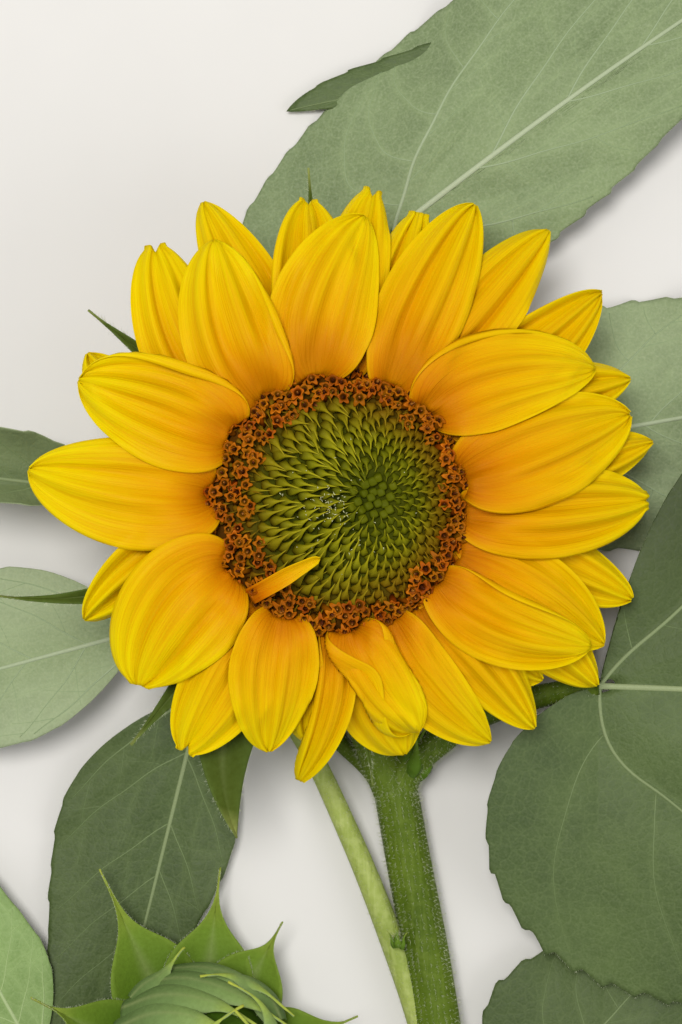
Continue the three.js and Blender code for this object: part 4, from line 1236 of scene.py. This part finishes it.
class Leaf:
    """One heart-shaped leaf. s runs along its midrib and q across it, in shares of its length."""

    def __init__(self, spec, rng):
        self.spec, self.rng = spec, rng
        self.length = spec["length"]
        self.back, self.full = spec.get("back", (166, 166)), spec.get("full", (1, 1))
        self.sag, self.up = spec.get("sag", (4, 4)), -1 if spec.get("under") else 1
        self.waves = rng.uniform(0, 6, 4)
        self.size = min(1, self.length / 150)

    def quilt(self, points, distance):
        """How far the blade bulges at each point, from its distance to the strong veins."""
        from_foot = np.linalg.norm(points[:, :2] - np.array(self.spec["base"][:2]), axis=1)
        bulge = self.up * self.size * 1.3 * self.spec.get("quilted", 1)
        bulge = bulge * (1 - np.exp(-((distance / 9) ** 2)))
        return bulge * ease(from_foot, 2, 30)

    def margin(self, side, turn):
        """The margin's distance at a share of the way round one side."""
        return outline_reach(np.power(turn, self.full[side]))

    def place(self, s, q, side):
        """The middle surface's points. side is 0 right of the midrib and 1 left of it."""
        foot, middle, tip = self.spec["heights"]
        share = q / LEAF_HALF_WIDTH
        w = np.where(side, 1, -1) * np.choose(side, self.spec["wide"]) * share
        at = LEAF_MIDDLE
        height = (foot * (1 - s) * (1 - s / at) + middle * s * (1 - s) / (at * (1 - at))
                  + tip * s * (s - at) / (1 - at)) - np.choose(side, self.sag) * share**2
        height = height + self.spec.get("lobe", 0) * np.maximum(-s, 0)
        a, b, c, d = self.waves
        signed = np.where(side, 1, -1) * q
        slow = 1.3 * np.sin(9 * s + a) * np.sin(8 * signed + b) * ease(share, 0, 0.5)
        quick = 0.7 * np.sin(17 * s + c) * np.sin(15 * signed + d) * ease(share, 0, 0.3)
        rim = 1.8 * np.sin(26 * s + a + 2 * side) * np.clip(share, 0, 1) ** 4
        height = height + self.size * (slow + quick + rim)
        turn = np.radians(self.spec["heading"] + self.spec.get("bend", 0) * s)
        x = self.spec["base"][0] + s * self.length * np.cos(turn) - w * np.sin(turn)
        y = self.spec["base"][1] + s * self.length * np.sin(turn) + w * np.cos(turn)
        return np.stack([x, y, np.maximum(height, LEAF_THICKNESS / 2 + 0.45)], -1)

    def veins(self):
        """Each vein as its line of (s, q), its side, and its widths in mm at both ends."""
        size = 0.55 + 0.45 * self.length / 200
        lines = [(np.stack([steps(90, 0.0, 0.985), np.zeros(90)], 1), 1, (1.75 * size, 0.4))]
        basal, quickness = self.spec.get("basal", (66, 66)), self.spec.get("quickness", (1.6, 1.6))
        for side in (0, 1):
            starts = [(0.0, basal[side], 1.15)] + [(s, mix(54, 34, s), mix(0.75, 0.34, s))
                                                   for s in np.arange(0.15, 0.93, 0.125)]
            for s, angle, wide in starts:
                quick = 1.6 if s else quickness[side]
                s = s + (self.rng.uniform(-0.02, 0.02) if s else 0)
                vein = self.run(side, (s, 0.0), angle, 0.62, quick=quick)
                lines.append((vein, side, (wide * size, 0.22)))
                self.branch(lines, side, vein, size * wide, s == 0.0)
        return [line for line in lines if len(line[0]) > 4]

    def branch(self, lines, side, vein, wide, strong):
        """Smaller veins off a vein, the outer ones of a strong vein long and curved round."""
        for at in range(5, len(vein) - 4, 8 if strong else 13):
            step = vein[at + 1] - vein[at]
            heading = math.degrees(math.atan2(step[1], step[0]))
            if strong:
                outer = self.run(side, vein[at], heading + self.rng.uniform(52, 64), 0.95)
            else:
                outer = self.run(side, vein[at], heading + self.rng.uniform(32, 44), 0.55, 0.12)
            lines.append((outer, side, (0.46 * wide, 0.16)))
            inner = self.run(side, vein[min(at + 4, len(vein) - 2)],
                             heading - self.rng.uniform(38, 52), -0.4, 0.1)
            lines.append((inner, side, (0.3 * wide, 0.14)))

    def run(self, side, start, angle, bending, longest=None, quick=1.6):
        """A vein from a point at an angle to the midrib, which bends towards the tip."""
        points, stride = [np.array(start, float)], VEIN_STRIDE
        most = 90 if longest is None else int(longest / stride)
        wander = self.rng.uniform(0, 6)
        for n in range(most):
            turn = math.radians(angle * (1 - bending * min(n * stride * quick, 1.0))
                                + 4 * math.sin(0.5 * n + wander))
            here = points[-1] + stride * np.array([math.cos(turn), math.sin(turn)])
            round_share = math.degrees(math.atan2(here[1], here[0])) / self.back[side]
            inside = 0 <= round_share <= 1 and here[1] > 0
            if not inside or math.hypot(*here) > 0.955 * self.margin(side, np.array(round_share)):
                break
            points.append(here)
        return np.array(points)

    def columns(self, side, spacing):
        """Shares of the way round a side, from tip to lobe, evenly spaced along the margin."""
        turn = steps(3000)
        reach, angle = self.margin(side, turn), np.radians(self.back[side] * turn)
        narrow = self.spec["wide"][side] / (LEAF_HALF_WIDTH * self.length)
        edge = self.length * np.stack([reach * np.cos(angle), narrow * reach * np.sin(angle)], 1)
        arc = np.concatenate([[0], np.cumsum(np.linalg.norm(np.diff(edge, axis=0), axis=1))])
        count = max(20, int(arc[-1] / spacing))
        return np.interp(steps(count, 0, arc[-1]), arc, turn), steps(count, 0, arc[-1])

    def grid(self, rows, spacing):
        """The blade's points, as s, q and side, with its toothed margin."""
        parts = []
        for side in (0, 1):
            turn, arc = self.columns(side, spacing)
            phase = (arc / TOOTH_EVERY) % 1
            tooth = np.where(phase < 0.25, phase / 0.25, ((1 - phase) / 0.75) ** 1.6) - 0.35
            uneven = self.rng.uniform(0.35, 1.25, int(arc[-1] / TOOTH_EVERY) + 1)
            tooth = tooth * uneven[(arc / TOOTH_EVERY).astype(int)] * TOOTH_HEIGHT / self.length
            tooth = tooth * ease(arc, 2, 14) * (1 - 0.7 * ease(turn, 0.6, 0.9))
            tooth = tooth * min(1, self.length / 110) * self.spec.get("toothed", 1)
            u = mix(0.02, 1, steps(rows))[:, None]
            out = u * self.margin(side, turn)[None] + tooth[None] * u**12
            angle = np.radians(self.back[side] * turn)[None]
            s, q = out * np.cos(angle), out * np.sin(angle)
            parts.append(np.stack([s, q, np.full(s.shape, side)], -1))
        return np.concatenate([parts[0][:, :0:-1], parts[1]], axis=1)


def nearest(points, targets):
    """Each point's distance in plan to the nearest target."""
    tree = kdtree.KDTree(len(targets))
    for n, (x, y) in enumerate(targets):
        tree.insert((x, y, 0), n)
    tree.balance()
    return np.array([tree.find((x, y, 0))[2] for x, y in points])


def vein_ridges(pile, traces, kind):
    """Each vein as a tapering ridge that stands out of both faces of the blade."""
    sides = 8
    for trace, (wide, narrow) in traces:
        width = np.linspace(wide, narrow, len(trace)) / 2
        trace = trace + np.array([0, 0, 0.1 * wide])
        points, faces, _ = tube(trace, width, sides)
        stretch = LEAF_THICKNESS / 2 + 0.3 * width
        middle = ringed(trace[:, 2], sides, trace[0, 2], trace[-1, 2])
        reach = ringed(stretch / width, sides, 1, 1)
        points[:, 2] = np.maximum(middle + (points[:, 2] - middle) * reach, 0.05)
        strength = np.clip(width / STRONG_VEIN, 0, 1)
        pile.add(points, faces, kind, near=ringed(strength, sides, 0, 0))


def margin_hairs(hairs, grid, rng):
    """Short hairs that stand out from the margin."""
    rim, inner = grid[-1], grid[-3]
    count = 2 * len(rim)
    at = rng.integers(2, len(rim) - 2, count)
    roots = mix(rim[at], rim[at + 1], rng.uniform(0, 1, (count, 1)))
    aim = unit(rim[at] - inner[at]) + rng.normal(0, 0.35, (count, 3))
    aim[:, 2] = np.abs(aim[:, 2])
    spikes(hairs, roots, aim, rng.uniform(0.3, 0.8, count), 0.035)


def leaf(name, spec, rng, hairs):
    """A leaf's blade, with its veins as ridges on both faces."""
    made = Leaf(spec, rng)
    rows = max(24, int(spec["length"] / LEAF_ROW))
    flat = made.grid(rows, LEAF_COLUMN)
    sides = flat[..., 2].astype(int)
    grid = made.place(flat[..., 0], flat[..., 1], sides)
    traces, everywhere, strong = [], [], []
    for line, side, widths in made.veins():
        trace = made.place(line[:, 0], line[:, 1], np.full(len(line), side))
        traces.append((trace, widths))
        everywhere.append(trace[:, :2])
        if widths[0] > 0.5 * STRONG_VEIN:
            strong.append(trace[:, :2])
    places = grid[..., :2].reshape(-1, 2)
    distance = nearest(places, np.vstack(everywhere)).reshape(grid.shape[:2])
    strong = np.vstack(strong)
    quilt = lambda points: made.quilt(points, nearest(points[:, :2], strong))
    lowest = LEAF_THICKNESS / 2 + 0.1
    grid[..., 2] += quilt(grid.reshape(-1, 3)).reshape(grid.shape[:2])
    fine = made.up * made.size * 0.35 * (1 - np.exp(-((distance / 3) ** 2)))
    grid[..., 2] = np.maximum(grid[..., 2] + fine, lowest)
    for trace, _ in traces:
        trace[:, 2] = np.maximum(trace[:, 2] + quilt(trace), lowest)
    pile = Pile()
    # The tone grows away from the midrib; the right leaf's darker half is painted shade.
    tone = np.choose(sides, spec.get("tone", (0, 0))) * ease(flat[..., 1], -0.1, 0.25)
    pile.add_sheet(grid, LEAF_THICKNESS * (1 - 0.5 * steps(rows)[:, None] ** 8),
                   (1, 0, 1) if spec.get("under") else (0, 1, 1),
                   near=np.exp(-((distance / 0.9) ** 2)), tone=tone)
    vein_ridges(pile, traces, 3 if spec.get("under") else 2)
    margin_hairs(hairs, grid, rng)
    upper_paint, vein = (LEAF_FRESH, VEIN_FRESH) if spec.get("fresh") else (LEAF_UPPER, VEIN_UPPER)
    piece(f"{name}_dressed", pile,
          [upper_paint, LEAF_LOWER, vein, VEIN_LOWER], [name])


def leaves(hairs):
    for n, (name, spec) in enumerate(LEAVES.items()):
        rng = np.random.default_rng(LEAF_SEED + n)
        leaf(name, spec, rng, hairs)
        pile = Pile()
        limb(pile, hairs, spec["stalk"], rng, density=3, hair=1.0, sides=20)
        paint = STALK_PALE if spec["stalk"].get("pale") or spec.get("under") else STEM_GREEN
        piece(f"{name}_stalk_dressed", pile, [paint], [f"{name}_stalk"])


# Side bud

BUD_PLACE = np.array([-36.0, -146, 24])
BUD_AIM = unit(np.array([0.1, 0.5, 0.86]))


def in_bud(points):
    """Points given in the side bud's frame, in the frame of the whole plant."""
    across = unit(np.cross((0, 1, 0), BUD_AIM))
    frame_of_bud = np.stack([across, np.cross(BUD_AIM, across), BUD_AIM])
    return np.asarray(points, float) @ frame_of_bud + BUD_PLACE


# The bud's outer bracts: tip angle, reach, width and the tip's height.
OUTER_BUD_BRACTS = [
    (160, 46, 22, 10), (203, 42, 20, 10), (246, 40, 20, 9), (288, 38, 20, 9), (328, 40, 20, 9),
    (12, 42, 22, 10), (57, 41.5, 24, 10), (82.5, 50, 27, 12), (117, 56, 27, 12),
]
# The bracts rolled over the bud, lowest first: the places across its top that each passes, in
# shares of the bud's radius, its width, and how high its tail rises.
ROLLED_BUD_BRACTS = [
    ([(0.62, -0.72), (0.85, -0.2), (0.7, 0.35), (0.3, 0.6)], 13, 5),
    ([(0.1, -0.98), (0.5, -0.6), (0.62, -0.1), (0.35, 0.25)], 14, 5),
    ([(-0.5, -0.85), (-0.1, -0.62), (0.3, -0.35), (0.4, 0.0)], 14, 6),
    ([(0.9, 0.3), (0.75, 0.6), (0.4, 0.75), (0.0, 0.7)], 13, 3),
    ([(-0.35, 0.94), (0.1, 0.86), (0.6, 0.68), (1.05, 0.35)], 13, 1),
    ([(-0.62, 0.78), (-0.15, 0.72), (0.4, 0.5), (1.12, 0.12)], 13, 2),
    ([(-0.85, 0.5), (-0.4, 0.52), (0.15, 0.38), (0.75, 0.02)], 14, 4),
    ([(-0.95, 0.25), (-0.5, 0.3), (-0.05, 0.2), (0.5, -0.12)], 13, 5),
    ([(-0.98, -0.05), (-0.6, 0.02), (-0.1, 0.0), (0.45, 0.3)], 13, 6),
    ([(-0.9, -0.4), (-0.5, -0.3), (0.0, -0.25), (0.5, -0.35)], 13, 5),
    ([(-0.75, 0.6), (-0.62, 0.72), (-0.4, 0.85), (-0.15, 1.12)], 10, 5),
]
BUD_SIDES, BUD_RINGS = 40, 25
BUD_SEED, SHOOT_SEED = 31, 41
SHOOT_HAIRS = 26


def rolled_bract(pile, hairs, rng, past, width, rise):
    """A strip that hugs the bud's round top with its margins rolled down, and its free tail."""
    rows, columns = 46, 13
    places = np.array(past, float) * 1.12 * BUD_RADIUS + np.array([0, 1.5])
    away = np.minimum(np.linalg.norm(past, axis=1), 1)
    heights = 0.8 * BUD_RADIUS * np.sqrt(1 - 0.9 * away**2) + 1.0
    line = smooth_line(np.column_stack([places, heights]), rows)
    u, v = steps(rows), steps(columns, -1, 1)[None]
    line[:, 2] += rise * ease(u, 0.55, 1) + 1.4 * np.sin(math.pi * u) + rng.uniform(0, 1)
    along = unit(np.gradient(line, axis=0))
    side = unit(np.cross(unit(line + np.array([0, 0, BUD_RADIUS])), along))
    half = np.maximum(width / 2 * shouldered(u, 0.6) * ease(u, -0.4, 0.25), 0.55 * (1.5 - u))[:, None]
    grid = swept(line, side, half * v * (1 - 0.12 * v * v))
    down = unit(line + np.array([0, 0, BUD_RADIUS]))[:, None] * (0.42 * half * v * v)[..., None]
    ripple = 0.25 * np.sin(u * rng.uniform(18, 26))[:, None] * np.abs(v) ** 3
    grid = grid - down + np.stack([0 * ripple, 0 * ripple, ripple], -1)
    pile.add_sheet(grid, BRACT_THICKNESS * (1 - 0.5 * v**4), 1, along=u[:, None],
                   tone=0.15 + 0.75 * np.abs(v) ** 5,
                   near=np.exp(-((v / 0.1) ** 2)) * (1 - u[:, None]))
    row = rng.integers(1, rows - 2, 2 * rows)
    edge_at = np.where(rng.uniform(size=2 * rows) < 0.5, 0, columns - 1)
    spikes(hairs, grid[row, edge_at], rng.normal(0, 1, (2 * rows, 3)) + np.array([0, 0, 0.5]),
           rng.uniform(0.2, 0.7, 2 * rows), 0.035)


def side_bud():
    """A closed flower bud: a round core wrapped in broad bracts and others rolled over its top."""
    rng = np.random.default_rng(BUD_SEED)
    pile, hairs = Pile(in_bud), Pile(in_bud)
    radius = BUD_RADIUS
    tilt = steps(BUD_RINGS, 0.02, math.pi - 0.02)
    grid = turned(radius * np.sin(tilt), 0.8 * radius * np.cos(tilt), BUD_SIDES)
    pile.add(grid, [grid_quads(BUD_RINGS, BUD_SIDES, wrapped=True)], along=0.1)
    for tip, reach, width, height in OUTER_BUD_BRACTS:
        line = [(radius * 0.72, -radius * 0.3), (radius * 1.5, radius * 0.1), (reach, height)]
        bract(pile, hairs, rng, math.radians(tip), line, width, 0.56, hollow=3.4,
              curl=rng.uniform(-1.5, 1.5), rows=50, columns=17, fringe=0.8, shape=shouldered)
    for past, width, rise in ROLLED_BUD_BRACTS:
        rolled_bract(pile, hairs, rng, past, width, rise)
    piece("side_bud_dressed", pile, [YOUNG, ROLLED], ["side_bud"])
    piece("side_bud_hairs", hairs, [HAIR])


def small_buds(hairs):
    """The young shoots in the fork of the stem and where the drooping leaf's stalk leaves it."""
    rng = np.random.default_rng(SHOOT_SEED)
    pile = Pile()
    young_shoot(pile, hairs, rng, [(19, -72, 9), (26, -55, 14)], 8, 2.6, 13)
    young_shoot(pile, hairs, rng, [(16, -118, 13), (15, -108, 15)], 4, 1.1, 5)
    piece("small_buds", pile, [YOUNG])


petals()
disc()
receptacle()
plant_hairs = Pile()
limbs(plant_hairs)
cut_face()
leaves(plant_hairs)
side_bud()
small_buds(plant_hairs)
piece("stem_hairs", plant_hairs, [HAIR])

# Camera and light
# The camera stands above the bloom, with the image's upright along +Y. The picture is 1024 points
# high, and a point is a quarter of a millimetre at the level of the bloom.
CAMERA_ABOVE = 600
PICTURE_HIGH = 256
SENSOR = 36
CAMERA_MIDDLE = (1, -2.25)
camera = placed("camera", bpy.data.cameras.new("camera"))
camera.location = (np.array([*CAMERA_MIDDLE, BLOOM_HEIGHT + CAMERA_ABOVE]) + SHIFT) * MM
camera.data.sensor_width = SENSOR
camera.data.lens = SENSOR * CAMERA_ABOVE / PICTURE_HIGH
camera.data.clip_start = 0.01
bpy.context.scene.camera = camera


def area_light(name, at, size, power, tint):
    lamp = bpy.data.lights.new(name, "AREA")
    lamp.shape = "DISK"
    lamp.size, lamp.energy, lamp.color = size, power, tint
    made = placed(name, lamp)
    made.location = at
    made.rotation_mode = "QUATERNION"
    made.rotation_quaternion = (-Vector(at)).to_track_quat("-Z", "Y")


area_light("key", (-0.35, 0.35, 1.8), 0.7, 25, (1, 0.98, 0.95))
area_light("fill", (1.3, -0.6, 1.1), 1.2, 7, (1, 1, 1))
world = bpy.data.worlds.new("studio")
world.use_nodes = True
world.node_tree.nodes["Background"].inputs["Color"].default_value = (1, 0.99, 0.96, 1)
world.node_tree.nodes["Background"].inputs["Strength"].default_value = 0.45
bpy.context.scene.world = world
bpy.context.scene.view_settings.view_transform = "Standard"

FLOOR_REACH = 9  # in metres
floor_mesh = bpy.data.meshes.new("floor")
corners = [(x * FLOOR_REACH, y * FLOOR_REACH, 0) for x, y in ((-1, -1), (1, -1), (1, 1), (-1, 1))]
floor_mesh.from_pydata(corners, [], [(0, 1, 2, 3)])
floor_mesh.materials.append(plain_paint("floor", (0.72, 0.71, 0.69), 0.9, 0.04, 40))
placed("floor", floor_mesh)
